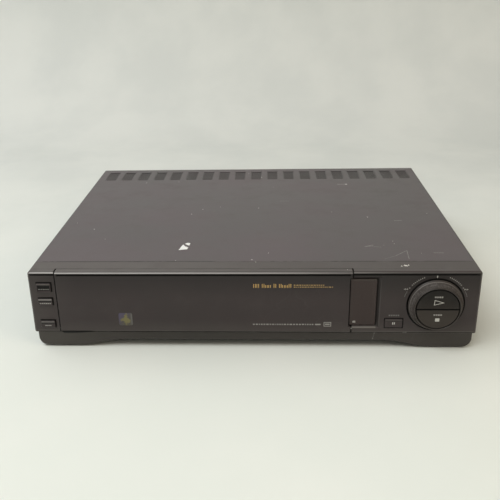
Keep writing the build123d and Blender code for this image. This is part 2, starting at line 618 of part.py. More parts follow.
def front_door():
    left, right = DOOR_LEFT + DOOR_GAP, DOOR_RIGHT - DOOR_GAP
    inner = DOOR_THICK - DOOR_OUT
    door = block((left, right), (-DOOR_OUT, inner), (DOOR_BOTTOM, HEIGHT))
    door += block((left, right), (inner - 0.1, DOOR_WRAP), (HEIGHT - DOOR_THICK + 0.2, HEIGHT))
    door = chamfer(edges_near(door, Axis.X, d=-DOOR_OUT, z=HEIGHT), RIM)
    door = fillet(edges_near(door, Axis.X, d=RIM - DOOR_OUT, z=HEIGHT)
                  + edges_near(door, Axis.X, d=-DOOR_OUT, z=HEIGHT - RIM), RIM_SOFT)
    door = fillet(edges_near(door, Axis.X, d=-DOOR_OUT, z=DOOR_BOTTOM), DOOR_FOOT_R)
    sides = [e for e in door.edges() if abs(e.center().Y - (FACE_Y - DOOR_OUT)) < 0.01 and e.length > 40 and
             min(abs(e.center().X - left), abs(e.center().X - right)) < 0.01]
    door = fillet(sides, DOOR_EDGE_R)
    door -= block((NOTCH_X - GAP, right + 1), (-5, 5), (NOTCH_BOTTOM - GAP, NOTCH_TOP + GAP))
    lugs = [block((left, left + LUG), (inner - 0.1, HINGE_D + 2.0), (HINGE_Z - 1.9, HINGE_Z + 3.0)),
            block((right - LUG, right), (inner - 0.1, HINGE_D + 2.0), (HINGE_Z - 1.9, HINGE_Z + 3.0))]
    lugs = [fillet(edges_near(lug, Axis.X, d=HINGE_D + 2.0, z=HINGE_Z - 1.9), 1.6) for lug in lugs]
    ribs = [block((left + 6, NOTCH_X - 6), (inner - 0.1, inner + DOOR_RIB), (z, z + 1.4))
            for z in (HINGE_Z + 6, HEIGHT - 12)]
    ribs += [block((x, x + 1.4), (inner - 0.1, inner + DOOR_RIB), (HINGE_Z + 6, HEIGHT - 11))
             for x in (left + 6, (left + NOTCH_X) / 2, NOTCH_X - 7.4)]
    door = joined([door] + lugs + ribs)
    holes = [rod_x(HINGE_PIN_R, (left - 1, left + LUG + 1), HINGE_D, HINGE_Z),
             rod_x(HINGE_PIN_R, (right - LUG - 1, right + 1), HINGE_D, HINGE_Z)]
    corners_xz = [(left - 1, DOOR_BOTTOM - 1), (left + RELIEF_L, DOOR_BOTTOM - 0.01),
                  (left + RELIEF_L * 0.7, DOOR_BOTTOM + RELIEF_H),
                  (left - 1, DOOR_BOTTOM + RELIEF_H)]
    relief = extrude(upright(0) * Polygon(*corners_xz, align=None), DOOR_THICK + 2, both=True)
    return door - shadow_groove((left + DOOR_EDGE_R + 1, right - DOOR_EDGE_R - 1),
                                -DOOR_OUT) - holes - relief


def door_hinge_pins():
    left, right = DOOR_LEFT + DOOR_GAP, DOOR_RIGHT - DOOR_GAP
    return group([rod_x(HINGE_PIN_R, (left + LUG - HINGE_PIN_L, left + LUG), HINGE_D, HINGE_Z),
                  rod_x(HINGE_PIN_R, (right - LUG, right - LUG + HINGE_PIN_L), HINGE_D, HINGE_Z)])


def display_window():
    x0 = NOTCH_X + 0.3
    x1 = NOTCH_X + WINDOW_W
    pane = block((x0, x1), (WINDOW_SET, WINDOW_SET + WINDOW_T), (WINDOW_BOTTOM, WINDOW_TOP))
    pane = fillet(edges_near(pane, Axis.Y, x=x1), 1.6)
    front = pane.faces().sort_by(Axis.Y)[0]
    return fillet(front.edges(), 0.4)


def display_module():
    x0, x1 = NOTCH_X + 3.4, NOTCH_X + WINDOW_W - 3.4
    glass = block((x0, x1), (FRONT_BOARD_D - DISPLAY_T - 2, FRONT_BOARD_D - 2),
                  (WINDOW_BOTTOM + 3.4, WINDOW_TOP - 3.4))
    legs = [block((x0 + 1, x1 - 1), (FRONT_BOARD_D - 2.5, FRONT_BOARD_D), (z, z + 1.5))
            for z in (WINDOW_BOTTOM + 5, WINDOW_TOP - 6.5)]
    return joined([glass] + legs)


def key(cx, cz, w, h, wall_d, wall, out, travel, tip, r=0.8, dished=False):
    """A push key: a cap through the wall, a flange behind it, and a stem that ends short of its switch."""
    cap = soft_block((cx - w / 2, cx + w / 2), (wall_d - out, wall_d + wall + AIR + 0.1),
                     (cz - h / 2, cz + h / 2), r)
    face = cap.faces().sort_by(Axis.Y)[0]
    cap = fillet(face.edges(), KEY_SOFT)
    if dished:
        scoop = Rot(0, 90, 0) * Cylinder(h * 0.75, w - 2.0)
        cap -= Pos(cx, FACE_Y + wall_d - out - h * 0.62, cz - h * 0.06) * scoop
    flange_d = wall_d + wall + AIR
    flange = block((cx - w / 2 - FLANGE, cx + w / 2 + FLANGE), (flange_d, flange_d + FLANGE_T),
                   (cz - h / 2 - FLANGE, cz + h / 2 + FLANGE))
    stem = block((cx - 1.6, cx + 1.6), (flange_d, tip - travel - AIR), (cz - 1.6, cz + 1.6))
    return joined([cap, flange, stem])


def left_key(z, h, dished=False):
    return key(KEY_CX, z, KEY_W, h, 0, WALL, KEY_OUT, KEY_TRAVEL, SWITCH_TIP, dished=dished)


def pause_button():
    return key(PAUSE_CX, PAUSE_Z, PAUSE_W, PAUSE_H, 0, WALL, PAUSE_OUT, KEY_TRAVEL / 2, SWITCH_TIP, r=1.4)


def small_key(i):
    x = SMALL_KEY_FIRST + SMALL_KEY_PITCH * i
    tip = INNER_BOARD_D - SWITCH_H
    return key(x, SMALL_KEY_Z, SMALL_KEY_W, SMALL_KEY_H, FASCIA_D, FASCIA_T, SMALL_KEY_OUT,
               SMALL_KEY_TRAVEL, tip)


def shuttle_ring():
    """A cone-sided finger ring that turns round the two half-round buttons."""
    bore = DISC_R + DISC_GAP
    back = WALL + AIR
    flange_r = RING_R + RING_GAP + 1.4
    outline = [(bore, back + FLANGE_T), (bore, -DIAL_OUT + 0.7), (bore + 0.4, -DIAL_OUT + 0.2),
               (RING_FACE_R, -DIAL_OUT + 0.2),
               (RING_FACE_R + 0.5, -DIAL_OUT + 0.7), (RING_R - 0.5, -RING_SHOULDER),
               (RING_R, -RING_SHOULDER + 0.6),
               (RING_R, back), (flange_r, back), (flange_r, back + FLANGE_T)]
    with BuildPart() as ring:
        with BuildSketch(Plane.XY):
            with BuildLine():
                Polyline(*outline, close=True)
            make_face()
        revolve(axis=Axis.Y)
    return Pos(DIAL_CX, FACE_Y, DIAL_Z) * ring.part


def half_disc(upper):
    """One half-round button of the pair inside the ring, with its stem to the switch."""
    s = 1 if upper else -1
    disc = rod_y(DISC_R, DIAL_CX, (-DIAL_OUT, -DIAL_OUT + 4), DIAL_Z)
    disc = fillet(disc.edges().sort_by(Axis.Y)[0], 0.8)
    far = DISC_R + 1
    half = disc - block((DIAL_CX - far, DIAL_CX + far), (-DIAL_OUT - 1, -DIAL_OUT + 5),
                        sorted((DIAL_Z + s * DISC_SPLIT / 2, DIAL_Z - s * far)))
    stem = rod_y(STEM_R, DIAL_CX, (-DIAL_OUT + 3, SWITCH_TIP - KEY_TRAVEL - AIR),
                 DIAL_Z + s * STEM_SPREAD)
    keeper = rod_y(STEM_R + 1.6, DIAL_CX, (WEB_BACK + AIR, WEB_BACK + AIR + 1), DIAL_Z + s * STEM_SPREAD)
    return joined([half, stem, keeper])


def shuttle_encoder():
    """The fixed body of the ring's encoder, with a guide for the two stems, on legs from the board."""
    body = rod_y(ENCODER_R, DIAL_CX, (WALL + AIR + FLANGE_T + 2.2, 9.4), DIAL_Z)
    guide = rod_y(DISC_R - 1.5, DIAL_CX, (-DIAL_OUT + 7.5, 7.0), DIAL_Z)
    guide -= rod_y(DISC_R - 3.5, DIAL_CX, (-20, 20), DIAL_Z)
    web = rod_y(DISC_R - 3, DIAL_CX, (WEB_BACK - 1.4, WEB_BACK), DIAL_Z)
    legs = [rod_y(2.2, DIAL_CX + 19 * cos(radians(a)), (9.0, FRONT_BOARD_D),
                  DIAL_Z + 19 * sin(radians(a))) for a in (45, 135, 225, 315)]
    whole = joined([body - rod_y(ENCODER_BORE, DIAL_CX, (0, 20), DIAL_Z), guide, web] + legs)
    return whole - [rod_y(STEM_R + 0.15, DIAL_CX, (-20, 20), DIAL_Z + s * STEM_SPREAD) for s in (-1, 1)]


def front_boards():
    left = block((-HALF + WALL + 0.5, DOOR_LEFT - 2.5), (FRONT_BOARD_D, FRONT_BOARD_D + BOARD_T),
                 (BODY_BOTTOM + 3, BEZEL_UNDER - 1))
    right = block((NOTCH_X + 2.5, HALF - WALL - 0.5), (FRONT_BOARD_D, FRONT_BOARD_D + BOARD_T),
                  (BODY_BOTTOM + 3, BEZEL_UNDER - 1))
    right -= block((NOTCH_X, DOOR_RIGHT + 2.5), (FRONT_BOARD_D - 1, FRONT_BOARD_D + 5),
                   (BODY_BOTTOM, NOTCH_BOTTOM + 0.5))
    right -= block((NOTCH_X, DOOR_RIGHT + 2.5), (FRONT_BOARD_D - 1, FRONT_BOARD_D + 5),
                   (NOTCH_TOP - 0.5, HEIGHT))
    keys_end = SMALL_KEY_FIRST + SMALL_KEY_PITCH * (len(SMALL_KEYS) - 1)
    inner = block((SMALL_KEY_FIRST - 11, keys_end + 11), (INNER_BOARD_D, INNER_BOARD_D + BOARD_T),
                  (BODY_BOTTOM + 4, SMALL_KEY_Z + 9))
    return group([left, right, inner])


def switch_places():
    """(x, z, depth of the board's front) of every tact switch."""
    places = [(KEY_CX, z, FRONT_BOARD_D) for z in (POWER_Z, INPUT_Z, EJECT_Z)]
    places.append((PAUSE_CX, PAUSE_Z, FRONT_BOARD_D))
    places += [(DIAL_CX, DIAL_Z + s * STEM_SPREAD, FRONT_BOARD_D) for s in (-1, 1)]
    places += [(SMALL_KEY_FIRST + SMALL_KEY_PITCH * i, SMALL_KEY_Z, INNER_BOARD_D)
               for i in range(len(SMALL_KEYS))]
    return places


def tact_switches():
    switches = []
    for x, z, d in switch_places():
        w = SWITCH_W / 2
        body = block((x - w, x + w), (d - SWITCH_H + 0.8, d), (z - w, z + w))
        switches.append(body + rod_y(1.7, x, (d - SWITCH_H, d - SWITCH_H + 1), z))
    return group(switches)


def inner_fascia():
    z0, z1 = BODY_BOTTOM + 2.0, BEZEL_UNDER
    plate = block((DOOR_LEFT, DOOR_RIGHT), (FASCIA_D, FASCIA_BACK), (z0, z1))
    plate -= block((NOTCH_X, DOOR_RIGHT + 1), (FASCIA_D - 1, FASCIA_BACK + 1),
                   (NOTCH_BOTTOM - 1.2, NOTCH_TOP + 1.2))
    plate -= block((BAY_X - SLOT_HALF, BAY_X + SLOT_HALF), (FASCIA_D - 1, FASCIA_BACK + 1),
                   (SLOT_BOTTOM, SLOT_TOP))
    for i in range(len(SMALL_KEYS)):
        x = SMALL_KEY_FIRST + SMALL_KEY_PITCH * i
        w, h = SMALL_KEY_W / 2 + GAP * 0.75, SMALL_KEY_H / 2 + GAP * 0.75
        plate -= block((x - w, x + w), (FASCIA_D - 1, FASCIA_BACK + 1),
                       (SMALL_KEY_Z - h, SMALL_KEY_Z + h))
    plate -= [rod_y(JACK_R + 1.2, x, (FASCIA_D - 1, FASCIA_BACK + 1), SMALL_KEY_Z)
              for x in front_jack_places()]
    ears = [block(sorted((BAY_X + s * (FLAP_HALF + 0.4), BAY_X + s * (FLAP_HALF + 2.4))),
                  (FASCIA_BACK - 0.5, FLAP_AXIS_D + 2),
                  (FLAP_AXIS_Z - 2, FLAP_AXIS_Z + 2)) for s in (-1, 1)]
    keys_end = SMALL_KEY_FIRST + SMALL_KEY_PITCH * (len(SMALL_KEYS) - 1)
    bosses = [rod_y(2.0, x, (FASCIA_BACK - 0.5, INNER_BOARD_D), z)
              for x in (SMALL_KEY_FIRST - 9, keys_end + 9) for z in (SMALL_KEY_Z - 7, SMALL_KEY_Z + 7)]
    whole = joined([plate] + ears + bosses)
    return whole - rod_x(FLAP_PIN_R + RUN, (BAY_X - FLAP_HALF - 5, BAY_X + FLAP_HALF + 5), FLAP_AXIS_D,
                         FLAP_AXIS_Z)


def front_jack_places():
    return [FRONT_JACK_FIRST + FRONT_JACK_PITCH * i for i in range(3)]


def front_input_jacks():
    jacks = []
    for x in front_jack_places():
        body = block((x - 6, x + 6), (FASCIA_BACK, FASCIA_BACK + 9), (SMALL_KEY_Z - 6, SMALL_KEY_Z + 6))
        shell = rod_y(JACK_R, x, (FASCIA_D - 3.5, FASCIA_BACK + 1), SMALL_KEY_Z)
        jacks.append(body + shell - rod_y(JACK_BORE, x, (FASCIA_D - 5, FASCIA_BACK + 6), SMALL_KEY_Z))
    return group(jacks)


def cassette_flap():
    """The inner door of the cassette slot: a thin leaf hung from a pin along its top."""
    d0 = FASCIA_BACK + AIR
    low = SLOT_BOTTOM - 1.4
    leaf = block((BAY_X - FLAP_HALF, BAY_X + FLAP_HALF), (d0, d0 + FLAP_T), (low, FLAP_AXIS_Z - 0.6))
    leaf -= block((BAY_X - FLAP_HALF + 2, BAY_X - FLAP_HALF + 10), (d0 - 1, d0 + 5),
                  (FLAP_AXIS_Z - SPRING_R - 1.2, FLAP_AXIS_Z + 2))
    places = [(x0, x0 + 6) for x0 in (BAY_X - 60, BAY_X - 3, BAY_X + 54)]
    knuckles = [rod_x(FLAP_PIN_R + 0.8, x, FLAP_AXIS_D, FLAP_AXIS_Z) for x in places]
    knuckles += [block(x, (d0, FLAP_AXIS_D), (FLAP_AXIS_Z - 2.2, FLAP_AXIS_Z - 0.3)) for x in places]
    pin = rod_x(FLAP_PIN_R, (BAY_X - FLAP_HALF - 2.2, BAY_X + FLAP_HALF + 2.2), FLAP_AXIS_D, FLAP_AXIS_Z)
    return joined([leaf, pin] + knuckles)


def flap_spring():
    """A torsion spring of three close turns round the flap's pin, with a leg against the fascia."""
    x0 = BAY_X - FLAP_HALF + 3.0
    turns, pitch = 4, 1.3
    with BuildPart() as spring:
        with BuildLine() as path:
            Helix(pitch, pitch * turns, SPRING_R, direction=(1, 0, 0))
        with BuildSketch(Plane(origin=path.line @ 0, z_dir=path.line % 0)):
            Circle(SPRING_WIRE / 2)
        sweep()
    return Pos(x0, FACE_Y + FLAP_AXIS_D, FLAP_AXIS_Z) * spring.part


# ---------------------------------------------------------------- cassette lift
def lift_side_plates():
    plates = []
    for s in (-1, 1):
        x = sorted((BAY_X + s * LIFT_IN, BAY_X + s * (LIFT_IN + LIFT_T)))
        plate = block(x, (DECK_FRONT, LIFT_END), (DECK_Z, CARRIAGE_TOP))
        r = GUIDE_PIN_R + 0.1
        first, last = BASKET_D + 8, BASKET_D + BASKET_L - 10 + LIFT_TRAVEL
        slot = block((x[0] - 1, x[1] + 1), (first, last), (RAIL_Z - r, RAIL_Z + r))
        slot += [rod_x(r, (x[0] - 1, x[1] + 1), d, RAIL_Z) for d in (first, last)]
        window = block((x[0] - 1, x[1] + 1), (DECK_FRONT + 60, LIFT_END - 14), (DECK_Z + 14, DECK_Z + 30))
        plate = plate - slot - window
        if s > 0:
            plate -= rod_x(SHAFT_R + RUN, (x[0] - 2, x[1] + 2), LIFT_GEAR_D, LIFT_GEAR_Z)
        foot = block(sorted((BAY_X + s * (LIFT_IN - 9), BAY_X + s * (LIFT_IN + 0.5))),
                     (DECK_FRONT + 20, DECK_FRONT + 50),
                     (DECK_Z, DECK_Z + LIFT_T))
        plates.append(plate + foot)
    return group(plates)


CARRIAGE_TOP = COVER_UNDER - 3.0
BASKET_PIN_Z = CASSETTE_UNDER + 12.0
RACK_PITCH_Z = RACK_Z - GEAR_MODULE  # pitch line of the rack's teeth
LIFT_GEAR_R = GEAR_MODULE * LIFT_TEETH / 2
LIFT_GEAR_Z = RACK_PITCH_Z - LIFT_GEAR_R
LIFT_GEAR_D = BASKET_D + RACK_L - 10.0


def lift_carriage():
    """The frame that carries the basket backwards on four rail pins, with a rack on its right side."""
    t = 2.0
    mid = BASKET_D + BASKET_L / 2
    r = GUIDE_PIN_R + 0.1
    ends = (BASKET_PIN_Z - LIFT_DROP, BASKET_PIN_Z)
    parts, slots = [], []
    for s in (-1, 1):
        x = sorted((BAY_X + s * CARRIAGE_IN, BAY_X + s * (CARRIAGE_IN + t)))
        parts.append(block(x, (BASKET_D, BASKET_D + BASKET_L), (RACK_Z, CARRIAGE_TOP)))
        parts += [rod_x(GUIDE_PIN_R, sorted((BAY_X + s * (CARRIAGE_IN + t - 0.5),
                                             BAY_X + s * (LIFT_IN + LIFT_T + 0.4))), d, RAIL_Z)
                  for d in (BASKET_D + 10, BASKET_D + BASKET_L - 12)]
        slots.append(block((x[0] - 1, x[1] + 1), (mid - r, mid + r), ends))
        slots += [rod_x(r, (x[0] - 1, x[1] + 1), mid, z) for z in ends]
    parts.append(block((BAY_X - CARRIAGE_IN - t, BAY_X + CARRIAGE_IN + t),
                       (BASKET_D + 24, BASKET_D + BASKET_L - 4),
                       (CARRIAGE_TOP - 1.4, CARRIAGE_TOP)))
    x = (BAY_X + CARRIAGE_IN, BAY_X + CARRIAGE_IN + t)
    parts.append(block(x, (BASKET_D, BASKET_D + RACK_L), (RACK_Z, RACK_Z + 4)))
    return (joined(parts) - slots) + rack_teeth(x)


def rack_teeth(x):
    """Straight teeth under the rail: flanks of 20 degrees, thinned a little for backlash."""
    pitch = pi * GEAR_MODULE
    half = pitch / 4 * 0.86
    lean = GEAR_MODULE * 0.36
    teeth = None
    count = int(RACK_L / pitch)
    for i in range(count):
        d = LIFT_GEAR_D + pitch * (i - int((LIFT_GEAR_D - BASKET_D) / pitch) + 0.5)
        if d - half - lean < BASKET_D or d + half + lean > BASKET_D + RACK_L:
            continue
        tip, root = RACK_PITCH_Z - GEAR_MODULE * 0.9, RACK_Z + 0.2
        pts = [(d - half - lean, root), (d + half + lean, root), (d + half - lean, tip),
               (d - half + lean, tip)]
        tooth = extrude(Plane.YZ * Polygon(*pts, align=None), x[1] - x[0], dir=(1, 0, 0))
        tooth = Pos(x[0], FACE_Y, 0) * tooth
        teeth = tooth if teeth is None else teeth + tooth
    return teeth


def spur(teeth, module, thick, bore, phase=0.0):
    """A spur gear about Z from z 0 up: straight flanks, thinned a little for backlash."""
    r = module * teeth / 2
    tip, root = r + module * 0.9, r - module * 1.15
    step = 2 * pi / teeth
    outline = []
    for i in range(teeth):
        a = phase + i * step
        for radius, share in ((root, -0.37), (tip, -0.12), (tip, 0.12), (root, 0.37)):
            outline.append((radius * cos(a + share * step), radius * sin(a + share * step)))
    profile = Polygon(*outline, align=None)
    if bore:
        profile -= Circle(bore)
    return extrude(profile, thick)


def lift_gear():
    """Small gear on a cross shaft in the right side plate, meshing under the carriage's rack."""
    wheel = Rot(0, 90, 0) * spur(LIFT_TEETH, GEAR_MODULE, 2.0, 0)
    wheel = Pos(BAY_X + CARRIAGE_IN, FACE_Y + LIFT_GEAR_D, LIFT_GEAR_Z) * wheel
    shaft = rod_x(SHAFT_R, (BAY_X + CARRIAGE_IN, BAY_X + LIFT_IN + LIFT_T + 1.5), LIFT_GEAR_D,
                  LIFT_GEAR_Z)
    collar = rod_x(SHAFT_R + 1.2, (BAY_X + LIFT_IN + LIFT_T + AIR, BAY_X + LIFT_IN + LIFT_T + 1.5),
                   LIFT_GEAR_D, LIFT_GEAR_Z)
    return joined([wheel, shaft, collar])


def cassette_basket():
    """The tray that holds the cassette by its edges, hung in the carriage by two pins."""
    under = CASSETTE_UNDER - AIR - 1.4
    top = CASSETTE_UNDER + CASSETTE_H + 1.0
    parts = []
    for s in (-1, 1):
        d = (BASKET_D, BASKET_D + BASKET_L)
        parts.append(block(sorted((BAY_X + s * BASKET_IN, BAY_X + s * (BASKET_IN + BASKET_T))), d,
                           (under, top + 1.2)))
        parts.append(block(sorted((BAY_X + s * (BASKET_IN - LEDGE), BAY_X + s * (BASKET_IN + 0.2))), d,
                           (under, under + 1.4)))
        parts.append(rod_x(GUIDE_PIN_R - 0.1,
                           sorted((BAY_X + s * (BASKET_IN + 0.5), BAY_X + s * (CARRIAGE_IN + 2.4))),
                           BASKET_D + BASKET_L / 2, BASKET_PIN_Z))
        stop_x = sorted((BAY_X + s * 74, BAY_X + s * 84))
        parts.append(block(stop_x, (BASKET_D + BASKET_L - 6, BASKET_D + BASKET_L - 4.4),
                           (top - 12, top + 0.5)))
    bridge = block((BAY_X - BASKET_IN - 0.5, BAY_X + BASKET_IN + 0.5),
                   (BASKET_D + 21, BASKET_D + BASKET_L - 4), (top, top + 1.2))
    bridge -= [block((BAY_X + x - 14, BAY_X + x + 14), (BASKET_D + 27, BASKET_D + BASKET_L - 10),
                     (top - 1, top + 3)) for x in (-50, 0, 50)]
    return joined([bridge] + parts)


# ---------------------------------------------------------------- tape deck
def guide_paths():
    """(start, end) in x and depth of the supply and take-up guides."""
    return [((BAY_X + s * GUIDE_START_X, GUIDE_START_D), (BAY_X + s * GUIDE_END_X, GUIDE_END_D))
            for s in (-1, 1)]


def deck_plate():
    plate = block((BAY_X - DECK_HALF, BAY_X + DECK_HALF), (DECK_FRONT, DECK_BACK), (DECK_UNDER, DECK_Z))
    for (x0, d0), (x1, d1) in guide_paths():
        length, turn = hypot(x1 - x0, d1 - d0), degrees(atan2(d1 - d0, x1 - x0))
        slot = Pos((x0 + x1) / 2, FACE_Y + (d0 + d1) / 2, DECK_UNDER - 1) * Rot(0, 0, turn) * extrude(
            SlotCenterToCenter(length + KEEL_L + 2 * AIR, SLOT_W), DECK_T + 2)
        plate -= slot
    plate -= rod_z(CAPSTAN_R + 1.0, BAY_X + CAPSTAN_X, CAPSTAN_D, (DECK_UNDER - 1, DECK_Z + 1))
    plate -= [rod_z(7.0, BAY_X + s * 78, d, (DECK_UNDER - 1, DECK_Z + 1)) for s in (-1, 1)
              for d in (60, 100)]
    shafts = [rod_z(SHAFT_R, BAY_X + s * REEL_X, REEL_D, (DECK_Z - 0.5, DECK_Z + 20)) for s in (-1, 1)]
    shafts.append(rod_z(SHAFT_R, BAY_X + PINCH_PIVOT_X, PINCH_PIVOT_D, (DECK_Z - 0.5, DECK_Z + 8)))
    shafts.append(rod_z(SHAFT_R, BAY_X + CAM_X, CAM_D, (DECK_Z - 0.5, DECK_Z + 9)))
    bearing = rod_z(BEARING_R, BAY_X + CAPSTAN_X, CAPSTAN_D, (DECK_Z - 0.5, DECK_Z + BEARING_H))
    bearing -= rod_z(CAPSTAN_R + RUN, BAY_X + CAPSTAN_X, CAPSTAN_D, (DECK_UNDER, DECK_Z + 20))
    return joined([plate, bearing] + shafts)


def drum_place():
    return Pos(BAY_X, FACE_Y + DRUM_D, DECK_Z) * Rot(0, DRUM_TILT, 0)


def lower_drum():
    """The fixed half of the head drum, cut flat where it stands on the deck, with its foot."""
    body = drum_place() * Pos(0, 0, LOWER_DRUM_H / 2 - 4) * Cylinder(DRUM_R, LOWER_DRUM_H + 8)
    ring = Cylinder(DRUM_R + 1, 0.5) - Cylinder(DRUM_R - 0.5, 0.5)
    groove = drum_place() * Pos(0, 0, LOWER_DRUM_H - 6) * ring
    foot = block((BAY_X - DRUM_R + 1, BAY_X + DRUM_R - 1), (DRUM_D - 12, DRUM_D + 26),
                 (DECK_Z, DECK_Z + 4))
    stub = drum_place() * Pos(0, 0, LOWER_DRUM_H + 1) * Cylinder(3.0, 6)
    below = block((BAY_X - 80, BAY_X + 80), (DRUM_D - 80, DRUM_D + 80), (DECK_Z - 40, DECK_Z))
    return joined([body, foot, stub]) - below - groove


def upper_drum():
    """The spinning half that carries the heads, with a stepped top and a flywheel disc."""
    base = LOWER_DRUM_H + 0.5
    body = Pos(0, 0, base + UPPER_DRUM_H / 2) * Cylinder(DRUM_R, UPPER_DRUM_H)
    cap = Pos(0, 0, base + UPPER_DRUM_H + 1.5) * Cylinder(DRUM_R - 9, 3)
    bore = Pos(0, 0, base) * Cylinder(3.0 + RUN, 12)
    heads = [Rot(0, 0, a) * Pos(DRUM_R - 1.0, 0, base + 0.6) * Box(4.5, 3, 3) for a in range(0, 360, 90)]
    screws = [Rot(0, 0, a) * Pos(DRUM_R - 15, 0, base + UPPER_DRUM_H + 3) * Cylinder(1.6, 2)
              for a in (45, 225)]
    whole = (body + cap - bore) - heads
    return drum_place() * joined([whole] + screws)


def capstan_flywheel():
    wheel = rod_z(FLYWHEEL_R, BAY_X + CAPSTAN_X, CAPSTAN_D, (FLOOR_Z + 0.8, DECK_UNDER - 2.2))
    shaft = rod_z(CAPSTAN_R, BAY_X + CAPSTAN_X, CAPSTAN_D, (FLOOR_Z + 0.8, DECK_Z + 34))
    return wheel + shaft


PINCH_Z = DECK_Z + 8.0


def pinch_places():
    """Where the roller stands at rest, and how far its arm swings to close on the capstan."""
    px, pd = BAY_X + PINCH_PIVOT_X, PINCH_PIVOT_D
    cx, cd = BAY_X + CAPSTAN_X, CAPSTAN_D
    span = hypot(px - cx, pd - cd)
    arm = 24.0
    closed = PINCH_R + CAPSTAN_R + AIR
    at_rest = closed + PINCH_GAP

    def corner(reach):
        # angle at the pivot between the line to the capstan and the arm
        return 90 - degrees(asin((arm * arm + span * span - reach * reach) / (2 * arm * span)))

    toward = degrees(atan2(cd - pd, cx - px))
    rest_angle, closed_angle = toward + corner(at_rest), toward + corner(closed)
    x = px + arm * cos(radians(rest_angle))
    d = pd + arm * sin(radians(rest_angle))
    return (px, pd), (x, d), closed_angle - rest_angle


def pinch_arm():
    (px, pd), (x, d), _ = pinch_places()
    base = DECK_Z + 1.0
    length, turn = hypot(x - px, d - pd), degrees(atan2(d - pd, x - px))
    bar = extrude(SlotCenterToCenter(length, 8), 2.0)
    plate = Pos((px + x) / 2, FACE_Y + (pd + d) / 2, base) * Rot(0, 0, turn) * bar
    hub = rod_z(3.6, px, pd, (base, base + 5))
    pin = rod_z(SHAFT_R, x, d, (base + 1, PINCH_Z + 19))
    cap = rod_z(SHAFT_R + 0.9, x, d, (PINCH_Z + 17.3, PINCH_Z + 19))
    return joined([plate, hub, pin, cap]) - rod_z(SHAFT_R + RUN, px, pd, (base - 1, base + 6))


def pinch_roller():
    _, (x, d), _ = pinch_places()
    wheel = rod_z(PINCH_R, x, d, (PINCH_Z, PINCH_Z + 17))
    return wheel - rod_z(SHAFT_R + RUN, x, d, (PINCH_Z - 1, PINCH_Z + 18))


def reel(s):
    """A reel table: toothed rim, flange, and a splined spindle for the cassette's hub."""
    x, base = BAY_X + s * REEL_X, DECK_Z + 0.4
    rim = Pos(x, FACE_Y + REEL_D, base) * spur(72, REEL_R * 2 / 76, 2.4, 0)
    flange = rod_z(REEL_R - 3, x, REEL_D, (base, base + 3.6))
    spindle = rod_z(SPINDLE_R, x, REEL_D, (base + 3, base + 14))
    nose = Pos(x, FACE_Y + REEL_D, base + 16) * Cone(SPINDLE_R, SPINDLE_R - 4, 4)
    fins = [Pos(x, FACE_Y + REEL_D, 0) * Rot(0, 0, a) * Pos(SPINDLE_R + 0.6, 0, base + 8.5) * Box(3.2,
                                                                                                  1.6,
                                                                                                  10)
            for a in (0, 120, 240)]
    whole = joined([rim, flange, spindle, nose] + fins)
    return whole - rod_z(SHAFT_R + RUN, x, REEL_D, (base - 1, base + 30))


def tape_guide(s):
    """A guide carriage: a sliding foot with a keel in the deck's slot, a roller post and a slanted post."""
    (x, d), (x1, d1) = guide_paths()[0 if s < 0 else 1]
    turn = degrees(atan2(d1 - d, x1 - x))
    base = DECK_Z + AIR
    foot = Pos(x, FACE_Y + d, base) * Rot(0, 0, turn) * extrude(RectangleRounded(14, GUIDE_W, 2), 3.0)
    strip = extrude(SlotCenterToCenter(KEEL_L, SLOT_W - 2 * AIR), DECK_T + 1.5)
    keel = Pos(x, FACE_Y + d, DECK_UNDER - 0.8) * Rot(0, 0, turn) * strip
    keeper = rod_z(SLOT_W - 0.6, x, d, (DECK_UNDER - 1.6, DECK_UNDER - AIR))
    post = rod_z(1.3, x, d, (base + 2.5, base + 22))
    roller = rod_z(3.0, x, d, (base + 5, base + 19))
    crown = rod_z(3.6, x, d, (base + 19, base + 21.5))
    leaning = Pos(5.2, 0, 0) * Rot(0, 12, 0) * Pos(0, 0, 8) * Cylinder(1.1, 17)
    slant = Pos(x, FACE_Y + d, base + 2.5) * Rot(0, 0, turn) * leaning
    return joined([foot, keel, keeper, post, roller, crown, slant])


CAM_Z = DECK_Z + 1.0
CAM_R = GEAR_MODULE * CAM_TEETH / 2
PINION_R = GEAR_MODULE * PINION_TEETH / 2
PINION_X = BAY_X + CAM_X
PINION_D = CAM_D + CAM_R + PINION_R


def cam_gear():
    """The loading cam, whose groove drives the guides, on the deck's shaft."""
    wheel = spur(CAM_TEETH, GEAR_MODULE, 5.0, 0)
    groove = Pos(2.5, 0, 3.6) * (Cylinder(9.5, 3) - Cylinder(7.5, 3))
    hub = Pos(0, 0, 3.2) * Cylinder(4, 6.4)
    whole = wheel - groove + hub - Cylinder(SHAFT_R + RUN, 40)
    return Pos(BAY_X + CAM_X, FACE_Y + CAM_D, CAM_Z) * whole


def motor_pinion():
    offset = (pi / 2) % (2 * pi / CAM_TEETH)  # from the cam's nearest tooth to the line between the centres
    phase = -pi / 2 + pi / PINION_TEETH + offset * CAM_TEETH / PINION_TEETH
    wheel = Pos(PINION_X, FACE_Y + PINION_D, CAM_Z) * spur(PINION_TEETH, GEAR_MODULE, 6.0, 0, phase=phase)
    return wheel + rod_z(1.2, PINION_X, PINION_D, (CAM_Z, MOTOR_UNDER + 3))


MOTOR_UNDER = CAM_Z + 8.0


